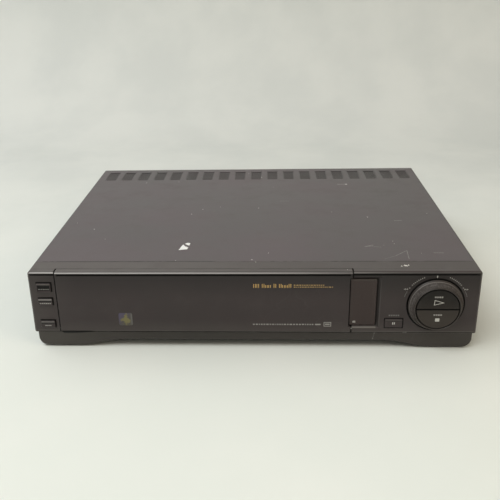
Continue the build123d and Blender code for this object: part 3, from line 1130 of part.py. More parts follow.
def loading_motor():
    """A can motor that stands on a bracket over the pinion, shaft down."""
    can = rod_z(MOTOR_R, PINION_X, PINION_D, (MOTOR_UNDER, MOTOR_UNDER + MOTOR_L))
    can = fillet(can.edges().sort_by(Axis.Z)[-1], 1.5)
    end = rod_z(4.0, PINION_X, PINION_D, (MOTOR_UNDER + MOTOR_L - 0.5, MOTOR_UNDER + MOTOR_L + 1.5))
    bracket = block((PINION_X - 14, PINION_X + 14), (PINION_D - 6, PINION_D + 16),
                    (MOTOR_UNDER - 1.2, MOTOR_UNDER))
    leg = block((PINION_X - 14, PINION_X + 14), (PINION_D + 14.8, PINION_D + 16), (DECK_Z, MOTOR_UNDER))
    foot = block((PINION_X - 14, PINION_X + 14), (PINION_D + 8, PINION_D + 16), (DECK_Z, DECK_Z + 1.2))
    return joined([can, end, bracket, leg, foot]) - rod_z(1.2 + RUN, PINION_X, PINION_D,
                                                          (DECK_Z, MOTOR_UNDER + 4))


def tape_heads():
    """The full erase head on the supply side, and the audio and control head before the capstan."""
    heads = []
    for x, d, turn in ((BAY_X - 62, 132, -20), (BAY_X + 60, 174, 25)):
        place = Pos(x, FACE_Y + d, DECK_Z) * Rot(0, 0, turn)
        plate = place * Pos(0, 0, 1) * Box(16, 12, 2)
        core = place * Pos(0, -1, 13) * Box(9, 7, 24)
        core = fillet(core.edges().filter_by(Axis.Z).sort_by(Axis.Y)[:2], 1.5)
        heads.append(joined([plate, core]))
    return group(heads)


# ---------------------------------------------------------------- boards
def board(x, d):
    """A circuit board on its posts, with a screw hole at each corner."""
    plate = block(x, d, (BOARD_TOP - BOARD_T, BOARD_TOP))
    return plate - [rod_z(1.6, cx, cd, (BOARD_TOP - 5, BOARD_TOP + 5)) for cx, cd in corners(x, d)]


def main_board():
    return board(*main_board_span())


def power_board():
    return board(*power_board_span())


def board_components():
    """Chips, cans and capacitors soldered to the main board and the power board."""
    z = BOARD_TOP
    (mx, mr), (md, mb) = main_board_span()
    (px, _), (pd, pb) = power_board_span()
    step = (pb - SINK_BACK - pd) / 3  # the smoothing cans stand in line before the heat sink
    boxes = [(mx + 22, md + 34, 38, 14, 4), (mx + 82, md + 24, 14, 38, 4),
             (mr - 48, md + 44, 30, 30, 5), (mx + 27, md + 104, 46, 36, 16),
             (mr - 68, md + 104, 42, 14, 4), (mr - 68, md + 134, 42, 14, 4),
             (mx + 18, mb - 117, 30, 12, 4), (mx + 72, mb - 115, 60, 40, 18)]
    cans = [(mx + 12, md + 74, 5, 12), (mx + 62, md + 79, 4, 11), (mr - 18, md + 89, 5, 14),
            (mx + 52, md + 169, 4, 11), (mr - 13, md + 169, 6, 16),
            (mx + 22, mb - 57, 5, 12), (px + 77, pd + 17, 11, 30), (px + 99, pd + 17, 9, 26),
            (px + 119, pd + step, 6, 18), (px + 119, pd + 2 * step, 6, 18),
            (px + 17, pb - 14, 5, 14)]
    parts = [block((x, x + w), (d, d + l), (z, z + h)) for x, d, w, l, h in boxes]
    return group(parts + [rod_z(r, x, d, (z, z + h)) for x, d, r, h in cans])


def transformer():
    """A laminated mains transformer: core, winding and bobbin flanges."""
    z = BOARD_TOP
    (px, _), (_, pb) = power_board_span()
    cx, cd, w = px + TRANSFORMER_IN, pb - TRANSFORMER_BACK, TRANSFORMER_W / 2
    core = block((cx - w, cx + w), (cd - 12, cd + 12), (z, z + 46))
    windows = [block((cx + s * w / 2 - 5, cx + s * w / 2 + 5), (cd - 13, cd + 13), (z + 9, z + 37))
               for s in (-1, 1)]
    winding = block((cx - w / 2 - 3, cx + w / 2 + 3), (cd - 20, cd + 20), (z + 10, z + 36))
    winding = fillet(winding.edges().filter_by(Axis.Z), 4)
    flanges = [block((cx - w / 2 - 4.5, cx + w / 2 + 4.5), (cd - 21.5, cd + 21.5), (a, a + 1.4))
               for a in (z + 9.3, z + 35.3)]
    legs = [block((cx + s * (w - 4) - 4, cx + s * (w - 4) + 4), (cd - 16, cd + 16), (z, z + 2))
            for s in (-1, 1)]
    return joined([core - windows, winding] + flanges + legs)


def heat_sink():
    (px, _), (_, pb) = power_board_span()
    x0, d0, z = px + SINK_X, pb - SINK_BACK, (BOARD_TOP, BOARD_TOP + SINK_H)
    spine = block((x0, x0 + SINK_PITCH * SINK_FINS), (d0, d0 + 3), z)
    fins = [block((x0 + SINK_PITCH * i, x0 + SINK_PITCH * i + 1.6), (d0, d0 + 18), z)
            for i in range(SINK_FINS)]
    return joined([spine] + fins)


# ---------------------------------------------------------------- write every node
def build():
    os.makedirs("parts", exist_ok=True)
    nodes = {
        "top_cover": top_cover, "cover_screws": cover_screws, "front_bezel": front_bezel,
             "base_skirt": base_skirt,
        "bottom_plate": bottom_plate, "rear_feet": rear_feet, "foot_pads": foot_pads,
             "rear_panel": rear_panel,
        "front_door": front_door, "door_hinge_pins": door_hinge_pins, "inner_fascia": inner_fascia,
        "cassette_flap": cassette_flap, "flap_spring": flap_spring, "display_window": display_window,
        "display_module": display_module, "pause_button": pause_button, "shuttle_ring": shuttle_ring,
        "shuttle_encoder": shuttle_encoder, "front_boards": front_boards, "tact_switches": tact_switches,
        "front_input_jacks": front_input_jacks, "main_board": main_board,
             "board_components": board_components,
        "power_board": power_board, "transformer": transformer, "heat_sink": heat_sink,
             "tuner_unit": tuner_unit,
        "rear_jack_block": rear_jack_block, "rear_jack_shells": rear_jack_shells,
             "channel_switch": channel_switch,
        "cord_gland": cord_gland, "deck_plate": deck_plate, "lower_drum": lower_drum,
             "upper_drum": upper_drum,
        "capstan_flywheel": capstan_flywheel, "pinch_arm": pinch_arm, "pinch_roller": pinch_roller,
        "loading_motor": loading_motor, "motor_pinion": motor_pinion, "cam_gear": cam_gear,
             "tape_heads": tape_heads,
        "lift_side_plates": lift_side_plates, "lift_carriage": lift_carriage,
             "cassette_basket": cassette_basket,
        "lift_gear": lift_gear,
    }
    for name, make in nodes.items():
        write(name, make())
    write("power_button", left_key(POWER_Z, POWER_H, dished=True))
    write("input_button", left_key(INPUT_Z, INPUT_H))
    write("eject_button", left_key(EJECT_Z, EJECT_H))
    write("play_button", half_disc(True))
    write("stop_button", half_disc(False))
    for i, name in enumerate(SMALL_KEYS):
        write(name + "_button", small_key(i))
    for s, side in ((-1, "supply"), (1, "takeup")):
        write(side + "_reel", reel(s))
        write(side + "_guide", tape_guide(s))


build()
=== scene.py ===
"""Finishes, printed marks, floor, light and camera for a front-loading video cassette recorder.

Lengths are millimetres, like the part's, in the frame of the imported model: +X to the viewer's
right, the front looks along -Y, +Z up, and the machine stands on Z 0. They become metres where a
mesh is made. Noise scales, the lamps and the camera are in metres.
"""

from functools import cached_property
from math import pi, radians

import bmesh
import bpy
import numpy as np
from mathutils import Matrix, Vector


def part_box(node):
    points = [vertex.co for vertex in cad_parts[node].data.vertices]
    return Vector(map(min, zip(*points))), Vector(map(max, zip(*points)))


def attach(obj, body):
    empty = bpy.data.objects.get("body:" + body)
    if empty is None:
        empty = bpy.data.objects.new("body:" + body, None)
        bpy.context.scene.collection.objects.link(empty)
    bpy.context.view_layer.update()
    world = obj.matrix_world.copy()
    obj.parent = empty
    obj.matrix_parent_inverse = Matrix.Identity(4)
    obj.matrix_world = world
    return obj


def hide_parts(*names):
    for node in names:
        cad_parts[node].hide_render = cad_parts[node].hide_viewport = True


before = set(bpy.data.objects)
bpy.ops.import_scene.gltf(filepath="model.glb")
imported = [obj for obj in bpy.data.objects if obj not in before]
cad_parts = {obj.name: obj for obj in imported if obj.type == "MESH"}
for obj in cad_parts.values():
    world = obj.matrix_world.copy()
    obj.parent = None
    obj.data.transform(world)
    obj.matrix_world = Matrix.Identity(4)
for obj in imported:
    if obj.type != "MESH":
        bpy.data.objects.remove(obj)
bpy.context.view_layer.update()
MM = 0.001


# ------------------------------------ places read from the frame
def low(node):
    """The corner of a node's box with the smallest coordinates."""
    return np.array(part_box(node)[0]) / MM


def high(node):
    return np.array(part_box(node)[1]) / MM


def middle(node):
    return (low(node) + high(node)) / 2


FACE = low("front_bezel")[1]  # the plane of the moulded front
DOOR_FACE = low("front_door")[1]
RIGHT, BACK, TOP = high("top_cover")
SEAM, BODY_LOW = low("top_cover")[1:]  # where the bezel meets the cover, and the case's lower edge
DOOR_LEFT, DOOR_RIGHT = low("front_door")[0], high("front_door")[0]
DOOR_LOW = low("front_door")[2]
DIAL_X, _, DIAL_Z = middle("shuttle_ring")
RING_FRONT = low("shuttle_ring")[1]
DISC_FACE = low("play_button")[1]
WINDOW_LOW, WINDOW_HIGH = low("display_window"), high("display_window")
FASCIA = low("inner_fascia")[1]

# ------------------------------------ sizes that only this file needs
RING_BORE = 20.6
RING_FACE_R = 21.4
RING_R = 25.9
RING_FLANGE_R = 28.3
RING_HOLE_R = 26.9
RING_SHOULDER = 1.8  # the ring's cone ends this far in front of the face
RING_BACK = 2.8  # its flange starts this far behind the face
RING_FLANGE_T = 1.2
RING_TEETH = 132
TOOTH_DEPTH = 0.42
DISC_R = 20.0
GROOVE_DROP = 3.2  # from the top to the middle of the shadow groove
RIM = 1.7  # size of the bevel along the top front edge
INK = 0.03  # thickness of printed ink
DOOR_WRAP = 7.0  # the door's top reaches this far back
KEY_RIM = 0.9  # rim behind the wall, which makes a key's box larger than its face
SHELL_R = 4.15  # outside of a rear jack's shell
JACK_PITCH = 17  # between the front jacks


# ------------------------------------ meshes from numpy arrays
def grid_faces(rows, columns, around):
    """Quads between neighbouring rows of a grid of points, closed round each row if around."""
    wide = columns if around else columns - 1
    r, c = np.meshgrid(np.arange(rows - 1), np.arange(wide), indexing="ij")
    next_c = (c + 1) % columns
    return np.stack([r * columns + c, r * columns + next_c, (r + 1) * columns + next_c,
                     (r + 1) * columns + c], axis=-1).reshape(-1, 4)


def put_in_scene(name, data):
    """An object that shows the given mesh, lamp or camera."""
    made = bpy.data.objects.new(name, data)
    bpy.context.scene.collection.objects.link(made)
    return made


def surface(name, points, faces, material, smooth=True):
    """One object at the origin, from points in millimetres and faces of equal size."""
    mesh = bpy.data.meshes.new(name)
    mesh.from_pydata((points.reshape(-1, 3) * MM).tolist(), [], faces.tolist())
    mesh.polygons.foreach_set("use_smooth", np.full(len(mesh.polygons), smooth))
    mesh.materials.append(material)
    return put_in_scene(name, mesh)


def piece(name, points, faces, material, body, smooth=True, closed=False):
    """A surface that rides on a body. Where it is closed by a fan or a ring, the points that fall
    together there are joined."""
    made = surface(name, points, faces, material, smooth)
    if closed:
        bm = bmesh.new()
        bm.from_mesh(made.data)
        bmesh.ops.remove_doubles(bm, verts=bm.verts, dist=1e-7)
        bmesh.ops.recalc_face_normals(bm, faces=bm.faces)
        bm.to_mesh(made.data)
        bm.free()
    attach(made, body)
    return made


def rounded_outlines(sizes, squareness, corners=16):
    """Points of superellipses: |x/a|^p + |z/b|^p = 1, from nearly square to round as p falls."""
    t = np.linspace(0, 2 * pi, corners, endpoint=False) + pi / corners
    unit = np.stack([np.cos(t), np.sin(t)], axis=-1)
    unit = np.sign(unit) * np.abs(unit) ** (2 / squareness)
    return sizes[:, None] / 2 * unit


def low_pads(outlines, thickness):
    """Raised pads from outlines (n, k, 2) in a plane: each outline is carried from the surface up
    to its thickness, steps in a little at the rim, and closes over a centre point. The third
    coordinate is the height above the plane."""
    n, k, _ = outlines.shape
    centre = outlines.mean(axis=1, keepdims=True)
    shrink = np.array([1.0, 1.0, 0.94, 0.0])
    height = np.array([0.0, 0.7, 1.0, 1.0]) * thickness
    flat = centre[:, None] + (outlines - centre)[:, None] * shrink[None, :, None, None]
    tall = np.broadcast_to(height[None, :, None, None], (n, 4, k, 1))
    points = np.concatenate([flat, tall], axis=-1)
    faces = grid_faces(4, k, True)[None] + (np.arange(n) * 4 * k)[:, None, None]
    return points.reshape(-1, 3), faces.reshape(-1, 4)


def on_front(flat, y):
    """Takes (x, z, height) points onto an upright plane that looks along -Y."""
    return np.stack([flat[:, 0], y - flat[:, 2], flat[:, 1]], axis=-1)


def turned(outlines, angles):
    """Each outline turned about its own origin by its own angle."""
    c, s = np.cos(angles)[:, None], np.sin(angles)[:, None]
    x, z = outlines[..., 0], outlines[..., 1]
    return np.stack([x * c - z * s, x * s + z * c], axis=-1)


def front_marks(name, centres, sizes, face, ink, angles=None, squareness=6.0, thickness=INK):
    """Small printed bars on a face, which is given as an upright plane's Y and its body: centres
    and sizes are rows of two, across and up."""
    centres = np.atleast_2d(centres)
    sizes = np.broadcast_to(np.atleast_2d(sizes), centres.shape)
    outlines = rounded_outlines(sizes, squareness)
    if angles is not None:
        outlines = turned(outlines, np.asarray(angles))
    flat, faces = low_pads(outlines + centres[:, None], thickness)
    piece(name, on_front(flat, face[0]), faces, ink, face[1], closed=True)


def hollow_outline(name, outline, line, face, ink):
    """A closed line of even width: the outline and the same outline drawn in by the line's width
    along its corners' bisectors, carried up from the surface."""
    outline = np.asarray(outline)
    ahead = np.roll(outline, -1, axis=0) - outline
    ahead /= np.linalg.norm(ahead, axis=1, keepdims=True)
    normal = np.stack([-ahead[:, 1], ahead[:, 0]], axis=-1)
    bisector = normal + np.roll(normal, 1, axis=0)
    bisector /= (bisector * normal).sum(axis=1, keepdims=True)
    inner = outline + bisector * line
    stations = [(outline, 0.0), (outline, INK), (inner, INK), (inner, 0.0)]
    rows = np.array([np.column_stack([o, np.full(len(o), h)]) for o, h in stations])
    piece(name, on_front(rows.reshape(-1, 3), face[0]), grid_faces(4, len(outline), True), ink,
          face[1], smooth=False)


def turned_profile(name, profile, centre, steps, material, body, lift=None, **finish):
    """A closed profile of (radius, depth) carried round the Y axis through centre. lift(row, angle)
    gives each point's change of radius, as whole arrays."""
    profile = np.asarray(profile)
    angle = np.linspace(0, 2 * pi, steps, endpoint=False)
    row, a = np.meshgrid(np.arange(len(profile)), angle, indexing="ij")
    r = profile[row, 0] + (0 if lift is None else lift(row, a))
    points = np.stack([centre[0] + r * np.cos(a), centre[1] + profile[row, 1],
                       centre[2] + r * np.sin(a)], axis=-1)
    return piece(name, points, grid_faces(len(profile), steps, True), material, body, **finish)


# ------------------------------------ shader nodes
def feed(socket, value):
    """Links a signal into a socket, or sets a plain number, vector or colour on it."""
    if isinstance(value, Signal):
        socket.id_data.links.new(value.socket, socket)
    elif isinstance(value, (int, float)):
        socket.default_value = value
    elif value is not None:
        socket.default_value = (*value, 1.0)[:len(socket.default_value)]


def operator(operation, swapped=False):
    """A Math node on a signal and another value, for use as a Python operator or method."""
    return lambda signal, other=None: signal.math(operation, other, swapped)


class Signal:
    """A socket of a node tree, written like a number: each operator or method adds a node and gives
    its result. Between masks, * means both, | means either, and & takes the smaller."""

    __array_ufunc__ = None  # so that a numpy number may stand left of an operator

    def __init__(self, socket):
        self.socket = socket

    def node(self, kind, inputs, out=0, **settings):
        made = self.socket.id_data.nodes.new(kind)
        for key, value in settings.items():
            setattr(made, key, value)
        for key, value in inputs.items():
            feed(made.inputs[key], value)
        return Signal(made.outputs[out])

    def math(self, operation, other=None, swapped=False, clamp=False):
        first, second = (other, self) if swapped else (self, other)
        return self.node("ShaderNodeMath", {0: first, 1: second}, operation=operation, use_clamp=clamp)

    __add__ = __radd__ = operator("ADD")
    __sub__ = operator("SUBTRACT")
    __rsub__ = operator("SUBTRACT", swapped=True)
    __mul__ = __rmul__ = operator("MULTIPLY")
    __or__ = operator("MAXIMUM")
    __and__ = operator("MINIMUM")
    __lt__ = operator("LESS_THAN")
    __gt__ = operator("GREATER_THAN")
    __abs__ = operator("ABSOLUTE")
    zigzag = operator("PINGPONG")
    root = operator("SQRT")

    def vector(self, operation, other=None, out=0):
        return self.node("ShaderNodeVectorMath", {0: self, 1: other}, out, operation=operation)

    def scaled(self, by):
        return self.node("ShaderNodeVectorMath", {0: self, "Scale": by}, operation="SCALE")

    def dot(self, other):
        return self.vector("DOT_PRODUCT", other, "Value")

    def split(self):
        return self.all_outputs("ShaderNodeSeparateXYZ", {0: self})

    def all_outputs(self, kind, inputs, **settings):
        return [Signal(s) for s in self.node(kind, inputs, **settings).socket.node.outputs]

    def through(self, group, **inputs):
        """Puts in a shared group that reads this vector, and gives what it puts out, in order."""
        return self.all_outputs("ShaderNodeGroup", {"Vector": self, **inputs}, node_tree=group)

    def noise(self, scale, detail=2.0, rough=0.5, out="Fac"):
        return self.node("ShaderNodeTexNoise", {"Vector": self, "Scale": scale, "Detail": detail,
                                                "Roughness": rough}, out)

    def cells(self, scale):
        """Crystal cells: the distance from the nearest cell's middle, and each cell's own colour."""
        return self.all_outputs("ShaderNodeTexVoronoi", {"Vector": self, "Scale": scale})[:2]

    def stretch(self, scale=(1, 1, 1), shift=(0, 0, 0), turn=(0, 0, 0)):
        return self.node("ShaderNodeMapping", {"Vector": self, "Location": shift,
                                               "Rotation": turn, "Scale": scale})

    def ease(self, start, end, to_low=0.0, to_high=1.0):
        """Smooth step from start to end, either way round."""
        return self.node("ShaderNodeMapRange", {"Value": self, "From Min": start, "From Max": end,
                                                "To Min": to_low, "To Max": to_high},
                         interpolation_type="SMOOTHSTEP")

    def band(self, start, full, fade, end):
        """1 between full and fade, eased down to 0 at start and at end."""
        return self.ease(start, full) * self.ease(end, fade)

    def near(self, value, full, end, to_high=1.0):
        """1 within a distance of a value, eased down to 0 at a larger one."""
        return abs(self - value).ease(end, full, 0.0, to_high)

    def between(self, a, b):
        """Blends two colours: a where this mask is 0, and b where it is 1."""
        return self.node("ShaderNodeMix", {"Factor": self, 6: a, 7: b}, 2, data_type="RGBA",
                         clamp_factor=True)

    def bump(self, depth):
        return self.node("ShaderNodeBump", {"Height": self, "Distance": depth * MM})


def shared_group(name, fill, outputs, **inputs):
    """A node group that reads a vector and other named inputs, given with their defaults. fill gives
    the signals to put out, in order."""
    tree = bpy.data.node_groups.new(name, "ShaderNodeTree")
    inputs = {"Vector": None, **inputs}
    for key, default in inputs.items():
        kind = "NodeSocketFloat" if isinstance(default, float) else "NodeSocketVector"
        socket = tree.interface.new_socket(name=key, in_out="INPUT", socket_type=kind)
        if default is not None:
            socket.default_value = default
    for key in outputs:
        tree.interface.new_socket(name=key, in_out="OUTPUT", socket_type="NodeSocketFloat")
    entry = tree.nodes.new("NodeGroupInput").outputs
    leave = tree.nodes.new("NodeGroupOutput").inputs
    for key, value in zip(outputs, fill(*(Signal(entry[key]) for key in inputs))):
        feed(leave[key], value)
    return tree


def fill_grain(place, fineness):
    """Spark-eroded or sprayed texture: two sizes of noise, and slow blotches that shift the tone."""
    near = place.scaled(fineness)
    blotch = place.stretch((9, 13, 17)).noise(1.0, 3.0, 0.6)
    return near.cells(0.55)[0] * 0.5 + near.noise(1.0, 3.0, 0.6), blotch.ease(0.3, 0.7)


def fill_dust(place, cells, amount):
    """Separate light specks, each in its own cell and most cells empty, more of them where the
    surface looks up, over a thin uneven film."""
    distance, colour = place.cells(cells)
    chance, size, _ = colour.split()
    dot = distance < size * 0.06 + 0.02
    upward = place.node("ShaderNodeNewGeometry", {}, "Normal").split()[2]
    lying = upward.ease(0.2, 0.95, 0.25, 1.0)
    film = place.noise(35.0, 4.0, 0.65).ease(0.45, 0.8) * lying
    return (chance < amount) * dot * lying, film


def fill_scratches(place, amount):
    """Hair-fine rubbed lines: the thin crossings of noise that is drawn out along three directions,
    kept only inside patches."""
    drawn = [place.stretch((26, 420, 26), (shift, shift, shift), (0, 0, turn))
             for turn, shift in ((0.5, 3.1), (-0.9, 7.7), (1.35, 12.4))]
    a, b, c = [d.noise(1.0, 1.0, 0.4).near(0.5, 0.0, 0.004) for d in drawn]
    patch = place.noise(14.0, 2.0).ease(0.55, 0.72)
    return [(a | b | c) * patch * amount]


def fill_line(place, start, end, width):
    """One scratch: how far a point lies from the straight line between two points, faded to nothing
    over the line's width and roughened by noise."""
    along, off = end.vector("SUBTRACT", start), place.vector("SUBTRACT", start)
    share = off.dot(along).math("DIVIDE", along.dot(along), clamp=True)
    gap = off.vector("SUBTRACT", along.scaled(share)).vector("LENGTH", out="Value")
    return [gap.ease(width, 0.0) * place.noise(900.0).ease(0.3, 0.55)]


def fill_edges(place, centre, half, width):
    """Wear on the edges of a box-like piece: of the three distances to its pairs of sides, the
    middle one is small only near an edge. Noise breaks the worn line up."""
    off = place.vector("SUBTRACT", centre).vector("ABSOLUTE")
    x, y, z = half.vector("SUBTRACT", off).split()
    second = (x & y) | ((x | y) & z)
    patchy = place.noise(160.0, 4.0, 0.7).ease(0.35, 0.75)
    return [second.ease(width, 0.0) * (patchy * 0.8 + 0.2)]


def fill_shut(place, centre, half, reach):
    """Painted shade in the shut line round an upright rectangle: how far a point lies outside the
    rectangle, faded out over a reach that noise makes uneven."""
    off = place.vector("SUBTRACT", centre).vector("ABSOLUTE")
    x, _, z = off.vector("SUBTRACT", half).split()
    uneven = reach * place.noise(220.0, 3.0, 0.6).ease(0.3, 0.7, 0.75, 1.1)
    return [(x | z).ease(uneven, uneven * 0.55)]


def fill_brushed(place, drawn):
    """Drawn or turned metal: noise stretched far along one axis."""
    return place.vector("MULTIPLY", drawn).noise(1.0, 4.0, 0.6), place.noise(60.0, 2.0).ease(0.3, 0.7)


def fill_spangle(place):
    """Zinc crystals: each cell has its own tone, and noise bends the borders."""
    warp = place.noise(300.0, 2.0, out="Color").scaled(0.002)
    colour = place.vector("ADD", warp).cells(260.0)[1]
    return place.noise(900.0, 3.0), colour.split()[0]


GRAIN = shared_group("moulded_grain", fill_grain, ["Height", "Blotch"], Fineness=2500.0)
DUST = shared_group("settled_dust", fill_dust, ["Specks", "Film"], Cells=90.0, Amount=0.05)
SCRATCHES = shared_group("fine_scratches", fill_scratches, ["Mask"], Amount=0.5)
LINE = shared_group("single_scratch", fill_line, ["Mask"], From=None, To=None, Width=0.0005)
EDGES = shared_group("worn_edges", fill_edges, ["Mask"], Middle=None, Half=None, Width=0.0008)
# this mask lays painted shade in the shut lines round keys, door and window
SHUT = shared_group("shut_line_shade", fill_shut, ["Mask"], Middle=None, Half=None, Reach=0.0006)
BRUSHED = shared_group("brushed_lines", fill_brushed, ["Lines", "Cloud"], Drawn=(4000, 60, 4000))
SPANGLE = shared_group("zinc_spangle", fill_spangle, ["Fine", "Crystal"])


# ------------------------------------ materials
class Paint:
    """A material being written: its shader, the place on the part, and the tone so far."""

    def __init__(self, name):
        self.material = bpy.data.materials.new(name)
        self.material.use_nodes = True
        nodes = self.material.node_tree.nodes
        self.shader = next(n for n in nodes if n.type == "BSDF_PRINCIPLED")
        self.place = Signal(nodes.new("ShaderNodeTexCoord").outputs["Object"])
        self.tone = self.gloss = self.normal = None

    @cached_property
    def axes(self):
        """The place across, back and up, in millimetres."""
        return self.place.scaled(1 / MM).split()

    def lay(self, mask, colour):
        """Lays a colour over the tone where a mask is 1."""
        self.tone = mask.between(self.tone, colour)

    def finish(self, **sockets):
        """Feeds the shader, and gives the material."""
        known = {"Base Color": self.tone, "Roughness": self.gloss, "Normal": self.normal}
        named = {key.replace("_", " "): value for key, value in sockets.items()}
        for key, value in {**known, **named}.items():
            feed(self.shader.inputs[key], value)
        return self.material


def worn_plastic(name, colour, worn, rough, node=None, fineness=2600.0, depth=0.02, dust=0.04,
                 scratches=0.25, blotch=0.18, edge=0.8, marks=()):
    """Moulded or sprayed surface: slow blotches in the tone, a fine grain, dust that settles on
    top, patches of hairline scratches and paler rubbed edges. marks are (from, to, width, tone)."""
    paint = Paint(name)
    place = paint.place
    grain, cloud = place.through(GRAIN, Fineness=fineness)
    darker = tuple(c * (1 - blotch * k) for c, k in zip(colour, (1.3, 0.9, 0.9)))
    lighter = tuple(c * (1 + blotch * k) for c, k in zip(colour, (1.1, 0.8, 1.1)))
    paint.tone = cloud.between(darker, lighter)
    specks, film = place.through(DUST, Amount=dust)
    paint.lay(film * 0.10, (0.30, 0.28, 0.26))
    paint.lay(place.through(SCRATCHES, Amount=scratches)[0], worn)
    if node:
        half = (high(node) - low(node)) / 2
        edges = place.through(EDGES, Middle=middle(node) * MM, Half=half * MM, Width=edge * MM)[0]
        paint.lay(edges * 0.35, worn)
    for start, end, width, shade in marks:
        line = place.through(LINE, From=np.array(start) * MM, To=np.array(end) * MM, Width=width * MM)
        paint.lay(line[0], shade)
    paint.lay(specks, (0.55, 0.53, 0.50))
    paint.gloss = cloud * 0.08 + (rough - 0.04) + film * 0.12
    paint.normal = grain.bump(depth)
    return paint


def top_scratch(x0, behind0, x1, behind1, width, shade):
    """A mark on the top between two places, each across from the middle and back from the front
    face, for worn_plastic."""
    return ((x0, FACE + behind0, TOP), (x1, FACE + behind1, TOP), width,
            (shade, shade * 0.97, shade * 0.94))


def front_scratch(x0, z0, x1, z1, width, shade, face=FACE):
    """A mark on the front between two places, for worn_plastic."""
    return (x0, face, z0), (x1, face, z1), width, (shade, shade * 0.97, shade * 0.93)


def cover_paint():
    """Satin dark paint on sheet steel, with painted shade along its side folds, at the front seam and in
    the shallow dishes and slots of the air vents, and painted shade that grows towards the right."""
    rubs = [(129.4, 30.2, 141, 38, 0.6, 0.2), (141, 38, 154.2, 51.5, 0.7, 0.3),
            (154.2, 51.5, 152.6, 30.2, 0.6, 0.3), (106.0, 276.1, 117.5, 276, 1.6, 0.35),
            (156.2, 138.3, 163.3, 138.3, 1.3, 0.28), (114.9, 63.6, 130.0, 60.6, 0.9, 0.22),
            (114.2, 61.9, 122.7, 66.0, 0.9, 0.34), (31.2, 208.9, 40.5, 208.9, 1.2, 0.2),
            (180, 45.5, 188, 45.2, 2.0, 0.2), (-27, 15.1, -18, 15.1, 1.2, 0.24)]
    # the base tone is paler than the front plastic's: partly the paint's own tone, partly painted sheen on
    # the top
    paint = worn_plastic("cover_paint", (0.087, 0.0705, 0.0785), (0.23, 0.22, 0.21), 0.38, "top_cover",
                         1500.0, 0.03, dust=0.07, scratches=0.22, blotch=0.10, edge=1.2,
                         marks=[top_scratch(*rub) for rub in rubs])
    x, y, z = paint.axes
    # painted shade in the gap at the front seam, broken up by noise
    seam_shade = y.ease(SEAM + 1.8, SEAM + 0.5) * paint.place.noise(30.0, 4.0, 0.7).ease(0.42, 0.56)
    # painted shade along the rounded side folds
    fold_shade = abs(x).ease(RIGHT - 2.9, RIGHT - 2.2) * z.ease(TOP - 2.6, TOP - 1.8)
    level = abs(x).ease(RIGHT - 3.0, RIGHT - 3.4) * y.ease(BACK - 3.0, BACK - 3.4)
    # painted shade growing towards the right of the top
    paint.lay(x.ease(-20, 200, 0.0, 0.12), (0.02, 0.018, 0.016))
    paint.lay(fold_shade * 0.85, (0.01, 0.009, 0.008))
    paint.lay(seam_shade * 0.8, (0.01, 0.008, 0.007))
    # painted shade in the vents' shallow dishes, and darker painted shade inside the slots
    paint.lay(level * z.ease(TOP - 0.15, TOP - 0.42) * 0.42, (0.016, 0.015, 0.014))
    paint.lay(level * z.ease(TOP - 0.7, TOP - 0.95), (0.006, 0.006, 0.006))
    return paint.finish()


def window_pane():
    """Smoked acrylic with a faint red cast and painted light along its top, where the bezel's overhang
    casts a shadow: clear enough to see the display glass behind it."""
    paint = Paint("window_smoke")
    smear = paint.place.stretch((60, 60, 24)).noise(1.0, 4.0, 0.65).ease(0.45, 0.75)
    paint.tone = smear.between((0.026, 0.011, 0.0095), (0.034, 0.018, 0.016))
    # painted light along the top edge, lifting the shadow of the bezel's overhang
    paint.lay(paint.axes[2].ease(WINDOW_HIGH[2] - 1.3, WINDOW_HIGH[2] - 0.9), (0.055, 0.044, 0.04))
    paint.lay(paint.place.through(DUST, Amount=0.05, Cells=160.0)[0], (0.4, 0.38, 0.36))
    return paint.finish(Roughness=smear * 0.10 + 0.14, IOR=1.49, Transmission_Weight=0.15)


def display_glass():
    """The display tube's dark glass with a fine grid behind it."""
    paint = Paint("display_tube")
    wires = paint.axes[0].zigzag(0.5).ease(0.10, 0.04)
    paint.tone = wires.between((0.01, 0.013, 0.014), (0.035, 0.04, 0.04))
    return paint.finish(Roughness=0.12, IOR=1.5, Coat_Weight=0.5)


def metal(name, colour, shade, rough, depth=0.006, pattern=BRUSHED, **drawn):
    """Bare metal: drawn lines or zinc crystals move its tone and its gloss."""
    paint = Paint(name)
    fine, share = paint.place.through(pattern, **drawn)
    paint.tone = share.between(colour, shade)
    paint.lay(paint.place.through(DUST, Amount=0.03, Cells=120.0)[0], (0.5, 0.5, 0.48))
    return paint.finish(Roughness=fine * 0.16 + (rough - 0.08), Normal=fine.bump(depth), Metallic=1.0)


def black_steel():
    """Blackened screw heads, rubbed bright in patches by screwdrivers."""
    paint = Paint("blackened_screw")
    patch = paint.place.noise(900.0, 4.0, 0.7).ease(0.52, 0.7)
    paint.tone = patch.between((0.03, 0.03, 0.032), (0.30, 0.29, 0.28))
    return paint.finish(Metallic=patch * 0.5 + 0.4, Roughness=patch * -0.1 + 0.42)


def rubber(name, colour, rough):
    """Matt rubber with a bloom of dust and small pits."""
    paint = Paint(name)
    bloom = paint.place.noise(120.0, 5.0, 0.7).ease(0.4, 0.7)
    paint.tone = bloom.between(colour, tuple(c * 1.9 + 0.01 for c in colour))
    return paint.finish(Roughness=bloom * 0.1 + rough, Normal=paint.place.noise(2600.0).bump(0.05))


def circuit_board():
    """Green resist with copper tracks that show paler through it, and solder dots."""
    paint = Paint("circuit_board")
    x, y, z = paint.axes
    across, back = (x + z).zigzag(1.3).ease(0.5, 0.3), (y + z).zigzag(1.7).ease(0.6, 0.35)
    track = (paint.place.noise(45.0, 1.0) > 0.5).between(across, back)
    paint.tone = track.between((0.035, 0.085, 0.03), (0.085, 0.150, 0.045))
    solder = paint.place.cells(330.0)[0] < 0.22
    paint.lay(solder, (0.55, 0.55, 0.52))
    return paint.finish(Metallic=solder * 0.8, Roughness=solder * -0.15 + 0.45)


